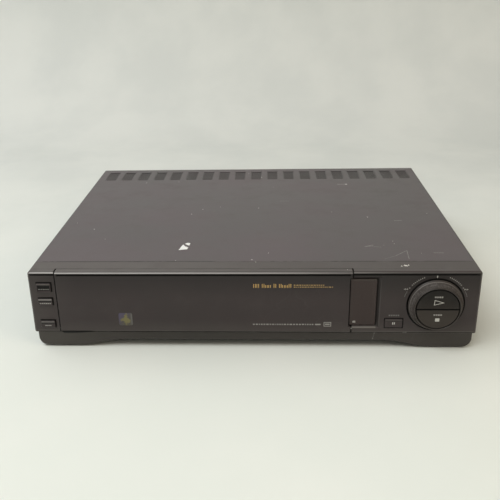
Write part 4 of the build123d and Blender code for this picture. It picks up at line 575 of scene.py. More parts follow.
def small_parts():
    """Chips, cans and capacitors: each block of space takes its own sleeve colour."""
    paint = Paint("small_parts")
    block = paint.place.stretch((1, 1, 0)).vector("SNAP", (0.02, 0.02, 0.02))
    pick = block.node("ShaderNodeTexWhiteNoise", {"Vector": block}, "Value")
    paint.tone = pick.node("ShaderNodeValToRGB", {0: pick})
    ramp = paint.tone.socket.node.color_ramp
    ramp.interpolation = "CONSTANT"
    sleeves = [(0.0, (0.012, 0.012, 0.013)), (0.42, (0.02, 0.03, 0.09)), (0.6, (0.10, 0.05, 0.02)),
               (0.72, (0.45, 0.44, 0.42)), (0.86, (0.015, 0.014, 0.013))]
    for at, _ in sleeves[2:]:
        ramp.elements.new(at)
    for element, (at, colour) in zip(ramp.elements, sleeves):
        element.position, element.color = at, (*colour, 1)
    dull = paint.place.noise(500.0, 3.0)
    paint.lay(dull * 0.2, (0.25, 0.24, 0.23))
    return paint.finish(Roughness=dull * 0.2 + 0.35)


def laminated_core():
    """Varnished transformer laminations, stained brown in patches."""
    paint = Paint("laminated_core")
    sheets = paint.axes[1].zigzag(0.35).ease(0.1, 0.25)
    stain = paint.place.noise(70.0, 4.0, 0.7)
    paint.tone = sheets.between((0.05, 0.045, 0.04), (0.13, 0.12, 0.11))
    paint.lay(stain.ease(0.5, 0.75), (0.16, 0.08, 0.03))
    return paint.finish(Metallic=0.55, Roughness=stain * 0.25 + 0.35, Normal=sheets.bump(0.05))


def printed_ink(name, colour, rough=0.55):
    """Screen-printed ink: slightly uneven cover, with specks rubbed off."""
    paint = Paint(name)
    cover = paint.place.noise(2500.0, 3.0, 0.7).ease(0.28, 0.42)
    paint.tone = cover.between(tuple(c * 0.55 for c in colour), colour)
    return paint.finish(Roughness=rough)


def paper():
    """Torn paper left by a label: white fibres, yellowed at the glue."""
    paint = Paint("torn_paper")
    fibre = paint.place.stretch((2600, 700, 2600)).noise(1.0, 4.0, 0.7)
    glue = paint.place.noise(260.0).ease(0.5, 0.75)
    paint.tone = glue.between((0.86, 0.86, 0.87), (0.72, 0.70, 0.64))
    return paint.finish(Roughness=fibre * 0.1 + 0.8, Normal=fibre.bump(0.05))


def sticker_film(left, bottom, size):
    """A plain square foil sticker: violet grey with a ragged yellow lozenge and a pale right border.
    u and v run from 0 to 1 across it and up it."""
    paint = Paint("sticker_film")
    x, _, z = paint.axes
    u, v = (x - left) * (1 / size[0]), (z - bottom) * (1 / size[1])
    blot = paint.place.noise(260.0, 3.0, 0.6).ease(0.40, 0.62)
    spread = abs(u - 0.52) + abs(v - 0.42) * 0.45 + blot * 0.22
    paint.tone = (v - u).ease(-0.3, 0.7).between((0.058, 0.05, 0.046), (0.062, 0.05, 0.09))
    paint.lay(u.ease(0.82, 0.95), (0.105, 0.100, 0.095))
    paint.lay(spread.ease(0.50, 0.28), (0.150, 0.132, 0.05))
    return paint.finish(Roughness=blot * 0.15 + 0.32)


def dress(node, material):
    """Gives a CAD node its material, through the object's own material slots."""
    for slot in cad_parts[node].material_slots:
        slot.link = "OBJECT"
        slot.material = material


SLOT_OF = {n: o.material_slots[0].name.split(".")[0] for n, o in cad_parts.items()}
BODY_PLASTIC = (0.0345, 0.0252, 0.0256)
# the two half discs are one plastic: their tones are lit and shaded copies, the upper play half darker as
# painted shade
DISC_COLOURS = {"play_button": (0.006, 0.0045, 0.0038), "stop_button": (0.022, 0.0178, 0.015)}
# near-black tone laid as painted shade in gaps, grooves, recesses and the parts of keys that go into the
# front
PAINTED_SHADE = (0.002, 0.0017, 0.0015)
# the tone and strength of each key's painted highlight along its upper edge, and the strength of the
# painted shade line under it
KEY_EDGE_LIGHT = {"power_button": ((0.105, 0.09, 0.087), 0.85, 0.9),
            "input_button": ((0.21, 0.195, 0.188), 0.9, 0.95),
            "eject_button": ((0.13, 0.120, 0.116), 0.85, 0.75),
            "pause_button": ((0.07, 0.064, 0.06), 0.5, 0.25)}
PALE_WEAR = (0.24, 0.23, 0.22)
FRONT_SHEEN = 0.38  # specular level of the moulded parts in front


def shut_line(paint, left, right, bottom, top, reach):
    """The painted shade round one upright rectangle."""
    centre = np.array([left + right, 0, bottom + top]) / 2
    half = np.array([right - left, 0, top - bottom]) / 2
    return paint.place.through(SHUT, Middle=centre * MM, Half=half * MM, Reach=reach * MM)[0]


def about_dial(paint):
    """The distance from the dial's axis, and its parts across and up."""
    x, _, z = paint.axes
    x, z = x - DIAL_X, z - DIAL_Z
    return (x * x + z * z).root(), x, z


def bezel_gaps(paint, behind):
    """Painted shade in the bezel's gaps: round the four keys, the door, the window and the ring, and along
    its foot."""
    window = shut_line(paint, WINDOW_LOW[0], WINDOW_HIGH[0], WINDOW_LOW[2], WINDOW_HIGH[2] - 1, 0.9)
    door = shut_line(paint, DOOR_LEFT, DOOR_RIGHT, DOOR_LOW, TOP + 1, 1.0)
    hole = about_dial(paint)[0].ease(RING_HOLE_R + 0.7, RING_HOLE_R + 0.35)
    foot = paint.axes[2].ease(BODY_LOW + 0.9, BODY_LOW + 0.5, 0.0, 0.8)
    dark = window | door * behind.ease(DOOR_WRAP + 0.6, DOOR_WRAP + 0.3) | hole | foot
    for key in KEY_EDGE_LIGHT:
        (x0, _, z0), (x1, _, z1) = low(key) + KEY_RIM, high(key) - KEY_RIM
        # the pause key's painted shade reaches a little lower, under its front
        drop = 0.7 if key == "pause_button" else 0.0
        dark = dark | shut_line(paint, x0, x1 + 0.4, z0 + 0.3 - drop, z1 + 0.3, 0.85)
    return dark


def door_gaps(paint):
    """Painted shade in the door's gaps: down its two ends, along its foot and round the window."""
    x, _, z = paint.axes
    window = shut_line(paint, WINDOW_LOW[0], WINDOW_HIGH[0], WINDOW_LOW[2], WINDOW_HIGH[2], 1.3)
    ends = x.ease(DOOR_LEFT + 0.8, DOOR_LEFT + 0.4) | x.ease(DOOR_RIGHT - 0.8, DOOR_RIGHT - 0.4)
    return window | ends | z.ease(DOOR_LOW + 0.7, DOOR_LOW + 0.2)


def window_surround(paint):
    """The bevel round the display window: painted shade down its right side, with painted highlights on
    the bevel's outer edge and along the lip at its foot.
    """
    x, _, z = paint.axes
    beside, below = x - WINDOW_HIGH[0], WINDOW_LOW[2] - z
    height = below.ease(2.5, 1.5) * z.ease(WINDOW_HIGH[2] + 0.3, WINDOW_HIGH[2] - 0.6)
    bevel, edge = beside.band(-0.5, 0.0, 2.9, 3.4), beside.near(3.7, 0.2, 0.6)
    lip = below.band(1.7, 2.1, 3.0, 3.5)
    span = beside.ease(1.2, 0.4) * x.ease(WINDOW_LOW[0] - 0.5, WINDOW_LOW[0] + 0.5)
    # painted shade down the bevel on the window's right side
    paint.lay(bevel * height * 0.75, (0.008, 0.0055, 0.005))
    # painted highlight on the bevel's outer edge
    paint.lay(edge * height * 0.5, (0.075, 0.068, 0.064))
    # painted highlight along the lip at the window's foot
    paint.lay(lip * span * 0.85, (0.155, 0.142, 0.130))


def front_relief(paint, node):
    """What the moulded front's own depth does to it, as painted light and shade: painted shade in the
    groove, the shut lines and the recess floors, a painted highlight on the rounded top rim, strongest at
    its left, painted sheen on the top, and painted shade on the face that fades out towards its foot."""
    x, y, z = paint.axes
    behind, below = y - FACE, TOP - z
    left, right = low(node)[0], high(node)[0]
    # painted shade in the groove below the top rim
    groove = below.near(GROOVE_DROP, 0.75, 1.05) * behind.ease(-2.0, -1.5)
    groove = groove * x.band(left + 1.5, left + 3.0, right - 3.0, right - 1.5)
    # painted shade on the recess floors
    deep = behind.ease(1.9, 2.3) * below.ease(1.9, 2.2) * abs(x).ease(RIGHT - 1.0, RIGHT - 1.4)
    if node == "front_bezel":
        dark = groove | deep | bezel_gaps(paint, behind)
        window_surround(paint)
    else:
        dark = groove | deep | door_gaps(paint)
    # painted highlight on the rounded top rim, strongest at the left
    rim = behind.band(-1.3, -0.9, RIM - 0.8, RIM - 0.4) * below.band(0.5, 0.8, RIM, RIM + 0.35)
    # painted shade on the upper face, fading out towards its foot
    shade = behind.ease(1.0, 0.0) * (1.0 - below.ease(2.0, 32.0)) * x.ease(-190, 160, 0.75, 1.0)
    # painted sheen on the top, strongest at the left
    top_sheen = below.ease(0.35, 0.1) * x.ease(200, -200, 0.6, 1.0)
    # painted light at the left end and near the foot
    pale = x.ease(-165, -215) * 0.25 | z.ease(BODY_LOW + 16, BODY_LOW) * 0.3
    # painted highlight along the lip at the foot
    lip = z.near(BODY_LOW + 1.45, 0.25, 0.6, 0.5)
    # painted shade in the gap behind the door's top
    seam = behind.near(DOOR_WRAP, 0.3, 0.8) * paint.place.noise(40.0, 3.0).ease(0.4, 0.6)
    paint.lay(shade * 0.66, (0.005, 0.004, 0.0042))
    paint.lay(top_sheen, (0.106, 0.094, 0.094))
    paint.lay(pale, (0.085, 0.075, 0.07))
    paint.lay(lip, (0.11, 0.10, 0.094))
    paint.lay(rim * x.ease(160, 0, 0.16, 1.0), (0.28, 0.265, 0.262))
    paint.lay(dark * 0.95, PAINTED_SHADE)
    paint.lay(seam * 0.5, (0.01, 0.009, 0.008))
    paint.gloss = paint.gloss + dark * 0.4 + rim * -0.14


def skirt_relief(paint):
    """The skirt gets painted light at its left and painted shade in the middle, along the shut line above
    it and in the finger gap under the door's left end."""
    x, _, z = paint.axes
    # painted light at the left end
    paint.lay(x.ease(-130, -200, 0.0, 0.27), (0.085, 0.078, 0.07))
    # painted shade in the middle, under the arch
    paint.lay(abs(x).ease(150, 100, 0.0, 0.16), PAINTED_SHADE)
    line = z.ease(BODY_LOW - 0.35, BODY_LOW - 0.05)
    gap = x.band(DOOR_LEFT, DOOR_LEFT + 3, DOOR_LEFT + 10, DOOR_LEFT + 44)
    wedge = (z + gap * 2.4).ease(BODY_LOW - 0.2, BODY_LOW + 0.5)
    # painted shade in the shut line and in the finger gap
    paint.lay((line | wedge) * 0.95, PAINTED_SHADE)


def dress_front():
    """The moulded parts of the front: each gets the wear of its own box."""
    skirt = low("base_skirt")[1]
    hair = [front_scratch(118.6, 17.0, 117.4, 11.0, 0.5, 0.24, skirt),
            front_scratch(117.4, 11.0, 115.2, 3.5, 0.5, 0.30, skirt)]
    plans = {
        "front_bezel": ("bezel", BODY_PLASTIC, 0.46, [front_scratch(145.6, 17.6, 148.8, 17.9, 0.7, 0.5)]),
        "front_door": ("door", BODY_PLASTIC, 0.45, [front_scratch(-88, 18.9, -79, 18.6, 0.9, 0.26)]),
        "base_skirt": ("skirt", (0.043, 0.037, 0.033), 0.52, hair)}
    for node, (name, colour, rough, marks) in plans.items():
        paint = worn_plastic(f"{name}_plastic", colour, PALE_WEAR, rough, node, depth=0.022, dust=0.02,
                             scratches=0.06, blotch=0.07, edge=0.7, marks=marks)
        if node == "base_skirt":
            skirt_relief(paint)
        else:
            front_relief(paint, node)
        dress(node, paint.finish(Specular_IOR_Level=FRONT_SHEEN))
    for node, slot in SLOT_OF.items():
        if slot == "key_plastic":
            dress(node, key_plastic(node))


def key_plastic(node):
    """A key: a painted highlight along its upper edge with a painted shade line under it, and painted
    shade on the parts that go into the front. The two half discs have no highlight edge; they get
    painted light towards their foot, and painted shade round their rim and in the split between them."""
    disc = DISC_COLOURS.get(node)
    paint = worn_plastic(f"{node}_plastic", disc or BODY_PLASTIC, PALE_WEAR, 0.42, node, 3200.0, 0.014,
                         dust=0.02, scratches=0.08, blotch=0.06, edge=0.35)
    x, y, z = paint.axes
    # painted shade on the parts that go into the front
    sunk_shade = y.ease(low(node)[1] + 0.5, low(node)[1] + 1.0)
    if disc:
        # painted light towards the discs' foot
        paint.lay(z.ease(DIAL_Z + 19, DIAL_Z - 16) * 0.55, (0.052, 0.042, 0.037))
        outer = about_dial(paint)[0].ease(DISC_R - 0.7, DISC_R - 0.4)
        # painted shade round the discs' rim and in the split between them
        sunk_shade = sunk_shade | outer | z.near(DIAL_Z, 0.7, 0.95)
    elif node in KEY_EDGE_LIGHT:
        left, right = low(node)[0], high(node)[0]
        fall = high(node)[2] - KEY_RIM - z
        ends = x.band(left + 1.2, left + 1.8, right - 1.6, right - 1.1)
        # the first tone, named worn here, is a painted highlight, not wear
        worn, share, under = KEY_EDGE_LIGHT[node]
        # painted highlight along the key's upper edge, then a painted shade line under it
        paint.lay(fall.band(0.1, 0.5, 1.5, 1.9) * ends * share, worn)
        paint.lay(fall.band(1.6, 1.9, 2.9, 3.3) * ends * under, PAINTED_SHADE)
    paint.lay(sunk_shade * 0.95, PAINTED_SHADE)
    return paint.finish(Roughness=paint.gloss + sunk_shade * 0.3,
                        Specular_IOR_Level=0.25 if disc else FRONT_SHEEN)


def ring_plastic():
    """The ring: painted highlights on its toothed zone, as fine pale streaks and a second pale line, a
    painted highlight on its outer rim, and painted shade in its bore and at its foot where it goes into
    the front. Its noise is drawn round the dial: one coordinate is the angle, the other the radius."""
    paint = worn_plastic("ring_plastic", (0.036, 0.0295, 0.027), PALE_WEAR, 0.40, None, 3200.0, 0.012,
                         dust=0.02, scratches=0.05, blotch=0.05)
    y = paint.axes[1]
    radius, x, z = about_dial(paint)
    out = FACE - y
    angle = z.math("ARCTAN2", x)
    round_it = angle.node("ShaderNodeCombineXYZ", {0: angle * 22.0, 1: radius * 0.7})
    glint = round_it.noise(1.0, 4.0, 0.7).ease(0.42, 0.62)
    toothed = out.band(3.0, 3.6, 8.6, 9.6)
    second = out.near(6.0, 0.3, 0.7) * round_it.noise(0.35, 2.0, 0.6).ease(0.42, 0.62)
    rim = out.near(3.0, 0.3, 0.6)
    inner = radius.ease(RING_BORE + 0.1, RING_BORE + 0.02) * y.ease(RING_FRONT + 0.3, RING_FRONT + 0.6)
    # painted sheen on the toothed zone, in streaks round the dial
    paint.lay(toothed * (glint * 0.6 + 0.12), (0.105, 0.092, 0.086))
    # a second painted highlight line on the teeth
    paint.lay(second * 0.5, (0.16, 0.148, 0.142))
    # painted highlight on the outer rim
    paint.lay(rim * 0.75, (0.20, 0.185, 0.178))
    # painted shade in the bore and at the foot
    paint.lay((inner | out.ease(0.9, 0.4)) * 0.95, PAINTED_SHADE)
    return paint.finish(Roughness=paint.gloss + rim * -0.14, Specular_IOR_Level=FRONT_SHEEN)


def plain_plastic(name, colour, worn, rough, **changes):
    """Plastic inside the machine, with little wear."""
    plan = {"fineness": 3000.0, "depth": 0.01, "scratches": 0.05, **changes}
    return worn_plastic(name, colour, worn, rough, **plan).finish()


def dress_rest():
    """Every other node, by the material slot that the record names for it."""
    finishes = {
        "cover_paint": cover_paint(),
        "window_glass": window_pane(),
        "display_glass": display_glass(),
        "inner_plastic": plain_plastic("inner_plastic", (0.022, 0.021, 0.02), (0.12, 0.12, 0.11), 0.58,
                                       fineness=2600.0, depth=0.02, scratches=0.06),
        "ring_plastic": ring_plastic(),
        "white_plastic": plain_plastic("white_gear_plastic", (0.74, 0.73, 0.69), (0.5, 0.49, 0.45), 0.45,
                                       blotch=0.05),
        "cream_plastic": plain_plastic("cream_plastic", (0.62, 0.57, 0.45), (0.4, 0.36, 0.28), 0.45,
                                       blotch=0.06),
        "jack_plastic": plain_plastic("jack_plastic", (0.018, 0.018, 0.018), (0.1, 0.1, 0.1), 0.4),
        "zinc_steel": metal("zinc_steel", (0.56, 0.57, 0.58), (0.63, 0.64, 0.64), 0.40,
                            pattern=SPANGLE),
        "black_steel": black_steel(),
        "bright_steel": metal("bright_steel", (0.60, 0.59, 0.57), (0.72, 0.71, 0.69), 0.24),
        "core_steel": laminated_core(),
        "drum_aluminium": metal("drum_aluminium", (0.72, 0.72, 0.73), (0.80, 0.80, 0.81), 0.20, 0.003,
                                Drawn=(60, 60, 5000)),
        "sink_aluminium": metal("sink_aluminium", (0.50, 0.50, 0.51), (0.62, 0.62, 0.63), 0.38),
        "head_metal": metal("head_metal", (0.66, 0.65, 0.62), (0.76, 0.75, 0.72), 0.22, 0.004,
                            Drawn=(3000, 3000, 60)),
        "pad_rubber": rubber("pad_rubber", (0.02, 0.019, 0.018), 0.78),
        "roller_rubber": rubber("roller_rubber", (0.026, 0.022, 0.02), 0.6),
        "board": circuit_board(),
        "parts": small_parts()}
    for node, slot in SLOT_OF.items():
        if slot in finishes:
            dress(node, finishes[slot])
    return finishes


dress_front()
FINISH = dress_rest()
WHITE_INK = printed_ink("white_ink", (0.50, 0.49, 0.47))
SOFT_INK = printed_ink("soft_white_ink", (0.26, 0.25, 0.24))
DIM_INK = printed_ink("dim_white_ink", (0.13, 0.125, 0.12))
AMBER_INK = printed_ink("amber_ink", (0.56, 0.36, 0.12))
DULL_AMBER_INK = printed_ink("dull_amber_ink", (0.40, 0.265, 0.10))
CHIP = printed_ink("chipped_paint", (0.74, 0.72, 0.69))


# ------------------------------------ the finger ring
def ring_grip():
    """The finger ring: its section carried round the dial, with the cone cut into fine teeth. The
    radius dips by the tooth's depth times a raised cosine of the angle, fading out at both ends of
    the cone."""
    front, back = RING_FRONT - FACE, RING_BACK
    start, end = (RING_FACE_R + 0.5, front + 0.5), (RING_R - 0.5, -RING_SHOULDER)
    cone_steps = 14
    share = np.linspace(0, 1, cone_steps)[:, None]
    cone = np.array(start) * (1 - share) + np.array(end) * share
    nose = [(RING_BORE, back + RING_FLANGE_T), (RING_BORE, front + 0.5), (RING_BORE + 0.15, front + 0.15),
            (RING_BORE + 0.4, front), (RING_FACE_R, front), (RING_FACE_R + 0.3, front + 0.15)]
    root = [(RING_R - 0.15, -RING_SHOULDER + 0.2), (RING_R, -RING_SHOULDER + 0.6), (RING_R, back),
            (RING_FLANGE_R, back), (RING_FLANGE_R, back + RING_FLANGE_T),
            (RING_BORE, back + RING_FLANGE_T)]

    def teeth(row, angle):
        along = (row - len(nose)) / (cone_steps - 1)
        fade = np.clip(np.minimum(along - 0.10, 0.80 - along) * 9, 0, 1)
        groove = (1 - np.cos(angle * RING_TEETH)) / 2
        ledge = np.exp(-((along - 0.90) / 0.035) ** 2) * 0.22
        return -fade * groove * TOOTH_DEPTH - ledge

    grip = turned_profile("shuttle_ring_grip", [*nose, *cone, *root], (DIAL_X, FACE, DIAL_Z),
                          RING_TEETH * 6, FINISH["ring_plastic"], "shuttle", teeth, closed=True)
    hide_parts("shuttle_ring")


# ------------------------------------ printed marks
SCALE_X = DIAL_X - 0.6  # the printed scale stands a little to the left of the ring
FRONT = (FACE, "chassis")
DOOR = (DOOR_FACE, "door")
PLAY_DISC = (DISC_FACE, "play_key")
STOP_DISC = (DISC_FACE, "stop_key")


def around_dial(name, radius, degrees_from_top, size, ink, **changes):
    """Printed bars on a circle about the dial, at angles clockwise from the top."""
    a = np.radians(np.asarray(degrees_from_top, float))
    centres = np.stack([SCALE_X + radius * np.sin(a), DIAL_Z + radius * np.cos(a)], axis=-1)
    front_marks(name, centres, size, FRONT, ink, -a, **changes)


def dial_scale():
    """Two short arcs of separate ticks above the ring, with a fine line under them, a dot and an end
    bar on each side, and a tick at the top."""
    for side, name in ((-1, "rewind"), (1, "forward")):
        around_dial(f"{name}_scale_ticks", 30.4, side * np.linspace(23.0, 48.0, 8), (0.75, 1.15), SOFT_INK)
        around_dial(f"{name}_scale_line", 29.85, side * np.linspace(23.0, 49.0, 12), (1.2, 0.3), DIM_INK)
        around_dial(f"{name}_scale_dot", 30.2, [side * 55.0], (1.1, 1.0), SOFT_INK, squareness=2.5)
        around_dial(f"{name}_scale_end", 30.2, side * np.linspace(64.0, 73.0, 4), (1.2, 0.6), DIM_INK)
    around_dial("dial_top_tick", 28.9, [0.0], (0.8, 2.2), WHITE_INK)


def triangle(x, z, size):
    """A triangle as wide as it is high, that points along the sign of its size."""
    half = size / 2
    return [(x - half, z - half), (x + half, z), (x - half, z + half)]


def dial_arrows():
    """Double triangles at the ends of the scale: backwards on the left, forwards on the right."""
    for name, x, z, size in (("rewind", -28.9, 16.1, -1.9), ("forward", 27.2, 15.8, 1.9)):
        pair = np.array([triangle(DIAL_X + x + s * 1.05, DIAL_Z + z, size) for s in (-1, 1)])
        flat, faces = low_pads(pair, INK)
        piece(f"{name}_arrows", on_front(flat, FACE), faces, SOFT_INK, "chassis", smooth=False,
              closed=True)


def dashes(name, x, z, lengths, height, face, ink, gap=0.4):
    """A row of short bars of the given lengths, centred on a point: a label with no words."""
    lengths = np.asarray(lengths, float)
    starts = np.concatenate([[0.0], np.cumsum(lengths[:-1] + gap)])
    middles = x - (starts[-1] + lengths[-1]) / 2 + starts + lengths / 2
    centres = np.stack([middles, np.full(len(lengths), z)], axis=-1)
    sizes = np.stack([lengths, np.full(len(lengths), height)], axis=-1)
    front_marks(name, centres, sizes, face, ink, squareness=8.0)


def button_symbols():
    """The play triangle, the stop square and the pause bars, each under a short dashed label."""
    x, z = DIAL_X, DIAL_Z
    play = [(x - 4.1, z + 4.4), (x + 5.6, z + 7.0), (x - 3.7, z + 9.9)]
    hollow_outline("play_triangle", play, 0.5, PLAY_DISC, WHITE_INK)
    dashes("play_label", x - 0.1, z + 12.8, [1.7, 1.5, 1.8, 1.5], 1.6, PLAY_DISC, SOFT_INK)
    front_marks("stop_square", (x + 0.2, z - 10.8), (4.0, 3.3), STOP_DISC, WHITE_INK, squareness=14.0)
    dashes("stop_label", x + 0.2, z - 5.6, [1.7, 1.5, 1.8, 1.6], 1.5, STOP_DISC, SOFT_INK)
    x, _, z = middle("pause_button")
    front_marks("pause_bars", [(x - 0.75, z), (x + 0.75, z)], (0.85, 2.3),
                (low("pause_button")[1], "pause_key"), WHITE_INK, squareness=12.0)
    dashes("pause_label", x, z + 8.2, [1.7, 1.6, 1.7, 1.5, 1.6], 1.5, FRONT, DIM_INK, 0.5)


def key_labels():
    """Small dashed labels on the three keys of the left column."""
    for key, lengths, ink in (("power", [2.1, 1.5, 2.3, 1.6, 1.5], DIM_INK),
                              ("input", [1.5, 1.7, 1.4, 1.9, 1.5, 1.1], SOFT_INK),
                              ("eject", [1.4, 1.0, 1.2, 1.2], SOFT_INK)):
        node = f"{key}_button"
        x, _, z = middle(node)
        dashes(f"{key}_label", x + 0.1, z - 1.3, lengths, 1.05, (low(node)[1], f"{key}_key"), ink)


def amber_strokes(z):
    """Upright strokes in four groups on the door, two of each height given."""
    groups = [(4.1, 4.1), (4.1, 2.9, 2.9), (4.1,), (4.1, 2.9, 2.9, 4.1)]
    stroke, pitch, gap = 0.62, 3.05, 2.0
    x, across, tall = 2.1, [], []
    for group in groups:
        for height in group:
            across += [x + 0.35, x + 2.0]
            tall += [height, height]
            x += pitch
        x += gap
    centres = np.stack([across, z - 1.9 + np.array(tall) / 2], axis=-1)
    sizes = np.stack([np.full(len(tall), stroke), tall], axis=-1)
    front_marks("door_amber_strokes", centres, sizes, DOOR, AMBER_INK, squareness=8.0)


def door_prints():
    """Amber bars and fine two-line dashes at the top right of the door, and a thin pale dashed line
    at its lower right: places for words, with no words in them."""
    rng = np.random.default_rng(7)
    line = 67.7
    amber_strokes(line)
    for name, count, longest, first, gap, last, z, height, ink in (
            ("door_amber_upper_dashes", 22, 2.2, 40.3, 0.75, 71.0, line + 0.9, 0.85, DULL_AMBER_INK),
            ("door_amber_lower_dashes", 22, 2.2, 40.3, 0.75, 78.0, line - 1.1, 0.85, DULL_AMBER_INK),
            ("door_pale_dashes", 40, 2.6, 1.2, 0.9, 60.0, 26.8, 1.3, SOFT_INK)):
        lengths = rng.uniform(0.8, longest, count)
        starts = first + np.concatenate([[0.0], np.cumsum(lengths[:-1] + gap)])
        keep = starts + lengths < last
        centres = np.stack([starts + lengths / 2, np.full(count, z)], axis=-1)[keep]
        sizes = np.stack([lengths, np.full(count, height)], axis=-1)[keep]
        front_marks(name, centres, sizes, DOOR, ink)
    front_marks("door_pale_bar", (63.8, 26.8), (5.4, 1.4), DOOR, SOFT_INK, squareness=10.0)
    hollow_outline("door_pale_frame", [(69.4, 24.6), (76.6, 24.6), (76.6, 29.4), (69.4, 29.4)], 0.7,
                   DOOR, SOFT_INK)
    front_marks("door_pale_frame_bar", (73.0, 27.0), (4.4, 1.5), DOOR, SOFT_INK, squareness=8.0)


def window_marks():
    """A small pale sensor mark low on the display window."""
    x, y, z = WINDOW_LOW
    front_marks("window_sensor_mark", (x + 4.6, z + 3.4), (3.0, 2.2), (y, "chassis"), SOFT_INK)


def door_sticker():
    """A thin foil sticker with rounded corners, pressed flat on the door."""
    left, bottom, size = -129.6, 25.2, (13.6, 13.4)
    centre = (left + size[0] / 2, bottom + size[1] / 2)
    front_marks("door_sticker", centre, size, DOOR, sticker_film(left, bottom, size), squareness=9.0,
                thickness=0.08)


def resampled(corners, count):
    """Points at even steps along a closed outline."""
    loop = np.vstack([corners, corners[:1]])
    run = np.concatenate([[0.0], np.cumsum(np.linalg.norm(np.diff(loop, axis=0), axis=1))])
    at = np.linspace(0, run[-1], count, endpoint=False)
    return np.stack([np.interp(at, run, loop[:, i]) for i in (0, 1)], axis=-1)


def top_scraps(name, outlines, thickness, material):
    """Thin shapes on the top, from outlines across from the middle and back from the front face."""
    flat, faces = low_pads(outlines + (0, FACE), thickness)
    piece(name, flat + (0, 0, TOP), faces, material, "chassis", smooth=False, closed=True)


def label_residue():
    """Two torn scraps of a paper label: their outlines are roughened by seeded noise, and the edge
    is lifted a little off the paint."""
    rng = np.random.default_rng(11)
    scraps = [[(-75.0, 54.2), (-73.4, 62.0), (-71.7, 69.0), (-69.4, 64.2), (-65.4, 60.6), (-66.5, 55.8)],
              [(-70.3, 71.6), (-67.4, 73.6), (-64.7, 72.6), (-65.0, 66.2), (-68.2, 68.2)]]
    outlines = np.array([resampled(np.array(scrap), 44) for scrap in scraps])
    top_scraps("label_residue", outlines + rng.normal(0, 0.16, outlines.shape), 0.08, paper())


def paint_chips():
    """Small chips and crumbs on the top that show pale, each from its place and its size across:
    uneven rounds, the largest at the front."""
    chips = [(-175.7, 115.1, 1.1), (-72.4, 163.8, 1.2), (-60.8, 179.4, 1.1), (-40.4, 188.0, 0.9),
             (5.0, 183.4, 0.9), (7.2, 309.9, 1.3), (16.5, 45.7, 0.9), (-157.1, 85.5, 0.6),
             (-74.5, 27.3, 0.6), (4.2, 23.1, 0.7), (-145.3, 288.7, 1.0), (-102.5, 292.0, 1.0),
             (127.9, 150.3, 1.2), (144.3, 76.8, 0.7), (196.4, 161.9, 0.8), (116.7, 276.0, 1.8),
             (145.8, 14.2, 2.4), (149.3, 15.0, 1.5), (142.6, 12.8, 1.3), (147.6, 13.4, 1.6),
             (90.7, 4.6, 0.7)]
    rng = np.random.default_rng(5)
    t = np.linspace(0, 2 * pi, 14, endpoint=False)
    x, back, size = np.array(chips).T[..., None]
    radius = size * 0.5 * (1 + 0.25 * rng.normal(size=(len(chips), len(t))))
    outlines = np.stack([x + radius * np.cos(t), back + 1.6 * radius * np.sin(t)], axis=-1)
    top_scraps("paint_chips", outlines, INK, CHIP)


def jack_ring(name, inner, outer, height, place, steps, ink):
    """A low rectangular section carried round a socket's axis, which looks along Y."""
    section = [(inner, 0), (inner, height), (outer, height), (outer, 0)]
    turned_profile(name, section, place, steps, ink, "chassis", smooth=False)


def jack_rings():
    """Yellow, white and red rings that tell the sockets apart: at the back each sits on its socket's
    collar, and in front, behind the door, each is printed on the panel."""
    inks = [printed_ink(f"{name}_ring_ink", colour, 0.45) for name, colour in
            (("yellow", (0.62, 0.42, 0.03)), ("white", (0.62, 0.61, 0.58)), ("red", (0.42, 0.022, 0.018)))]
    x0, _, z0 = low("rear_jack_shells") + SHELL_R
    x1, _, z1 = high("rear_jack_shells") - SHELL_R
    collar = high("rear_jack_block")[1]
    for row, z in (("lower", z0), ("upper", z1)):
        for ink, x in zip(inks, np.linspace(x0, x1, 3)):
            jack_ring(f"rear_{row}_{ink.name}", 4.25, 5.1, 0.3, (x, collar, z), 48, ink)
    x, _, z = middle("front_input_jacks")
    for ink, step in zip(inks, (-1, 0, 1)):
        jack_ring(f"front_{ink.name}", 5.5, 6.5, -INK, (x + step * JACK_PITCH, FASCIA, z), 64, ink)


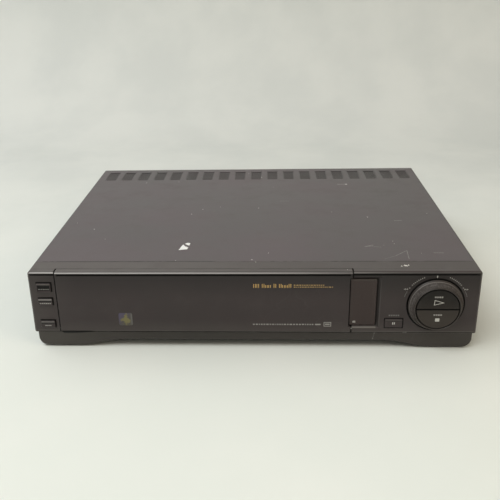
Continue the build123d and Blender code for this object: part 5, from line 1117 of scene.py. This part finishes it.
# ------------------------------------ stage, light and camera
def floor_and_backdrop():
    """A pale sheet that lies flat, turns up in a quarter circle and rises behind the machine, with
    painted light near the front, painted shade towards the back and painted warm shade at the right.
    """
    turn_y, turn_r, near, wall = 620, 300, -3000, 2600
    t = np.linspace(0, pi / 2, 24)[1:]
    y = np.concatenate([np.linspace(near, turn_y, 12), turn_y + turn_r * np.sin(t), [turn_y + turn_r]])
    z = np.concatenate([np.zeros(12), turn_r * (1 - np.cos(t)), [wall]])
    x = np.linspace(-3500, 3500, 9)
    points = np.stack(np.broadcast_arrays(x[None], y[:, None], z[:, None]), axis=-1)
    paint = Paint("pale_sheet")
    across, along, _ = paint.axes
    cloud = paint.place.noise(5.0, 4.0, 0.55).ease(0.35, 0.65)
    # painted light on the sheet near the front, and painted shade towards the back
    paint.tone = along.ease(-250, 600).between((0.80, 0.83, 0.80), (0.66, 0.68, 0.67))
    # painted warm shade on the sheet to the right of the machine
    paint.lay(across.ease(100, 700) * along.ease(300, -200), (0.74, 0.67, 0.53))
    paint.lay(cloud * 0.25, (0.90, 0.90, 0.87))
    sheet = surface("pale_sheet", points, grid_faces(len(y), len(x), False), paint.finish(Roughness=0.85))


def soft_lamp(name, place, aim, size, power, colour):
    """A rectangular lamp at a place, turned towards its aim."""
    lamp = bpy.data.lights.new(name, "AREA")
    lamp.shape = "RECTANGLE"
    lamp.size, lamp.size_y = size
    lamp.energy, lamp.color = power, colour
    holder = put_in_scene(name, lamp)
    holder.location = place
    holder.rotation_euler = (Vector(aim) - Vector(place)).to_track_quat("-Z", "Y").to_euler()


def light():
    """Cool light from windows at the left and behind, and warm light from the room."""
    world = bpy.data.worlds.new("room")
    bpy.context.scene.world = world
    world.use_nodes = True
    background = world.node_tree.nodes["Background"]
    background.inputs["Color"].default_value = (0.95, 0.90, 0.79, 1)
    background.inputs["Strength"].default_value = 0.46
    soft_lamp("window_left", (-0.85, -0.95, 1.9), (0, -0.1, 0.05), (1.9, 0.7), 26, (0.95, 0.985, 0.97))
    soft_lamp("window_rear", (-1.7, 0.45, 1.5), (0, 0.1, 0.05), (1.2, 1.2), 8, (0.96, 0.98, 1.0))
    soft_lamp("room_right", (1.5, -1.1, 1.2), (0.1, -0.2, 0.05), (0.9, 0.9), 6.5, (1.0, 0.84, 0.60))


def camera():
    """Stands 0.6 m in front, looking down by 22 degrees and a little to the left."""
    pan, tilt, roll = [Matrix.Rotation(radians(angle), 4, axis)
                       for angle, axis in ((3.384, "Z"), (90 - 22.374, "X"), (-1.431, "Z"))]
    lens = bpy.data.cameras.new("camera")
    lens.lens, lens.sensor_width, lens.shift_x = 50.73, 36.0, 0.0389
    lens.clip_start, lens.clip_end = 0.05, 20
    holder = put_in_scene("camera", lens)
    place = Matrix.Translation((0.0171, FACE * MM - 0.6051, 0.3537))
    holder.matrix_world = place @ pan @ tilt @ roll
    bpy.context.scene.camera = holder


ring_grip()
dial_scale()
dial_arrows()
button_symbols()
key_labels()
door_prints()
window_marks()
door_sticker()
label_residue()
paint_chips()
jack_rings()
floor_and_backdrop()
light()
camera()
bpy.context.scene.view_settings.view_transform = "Standard"
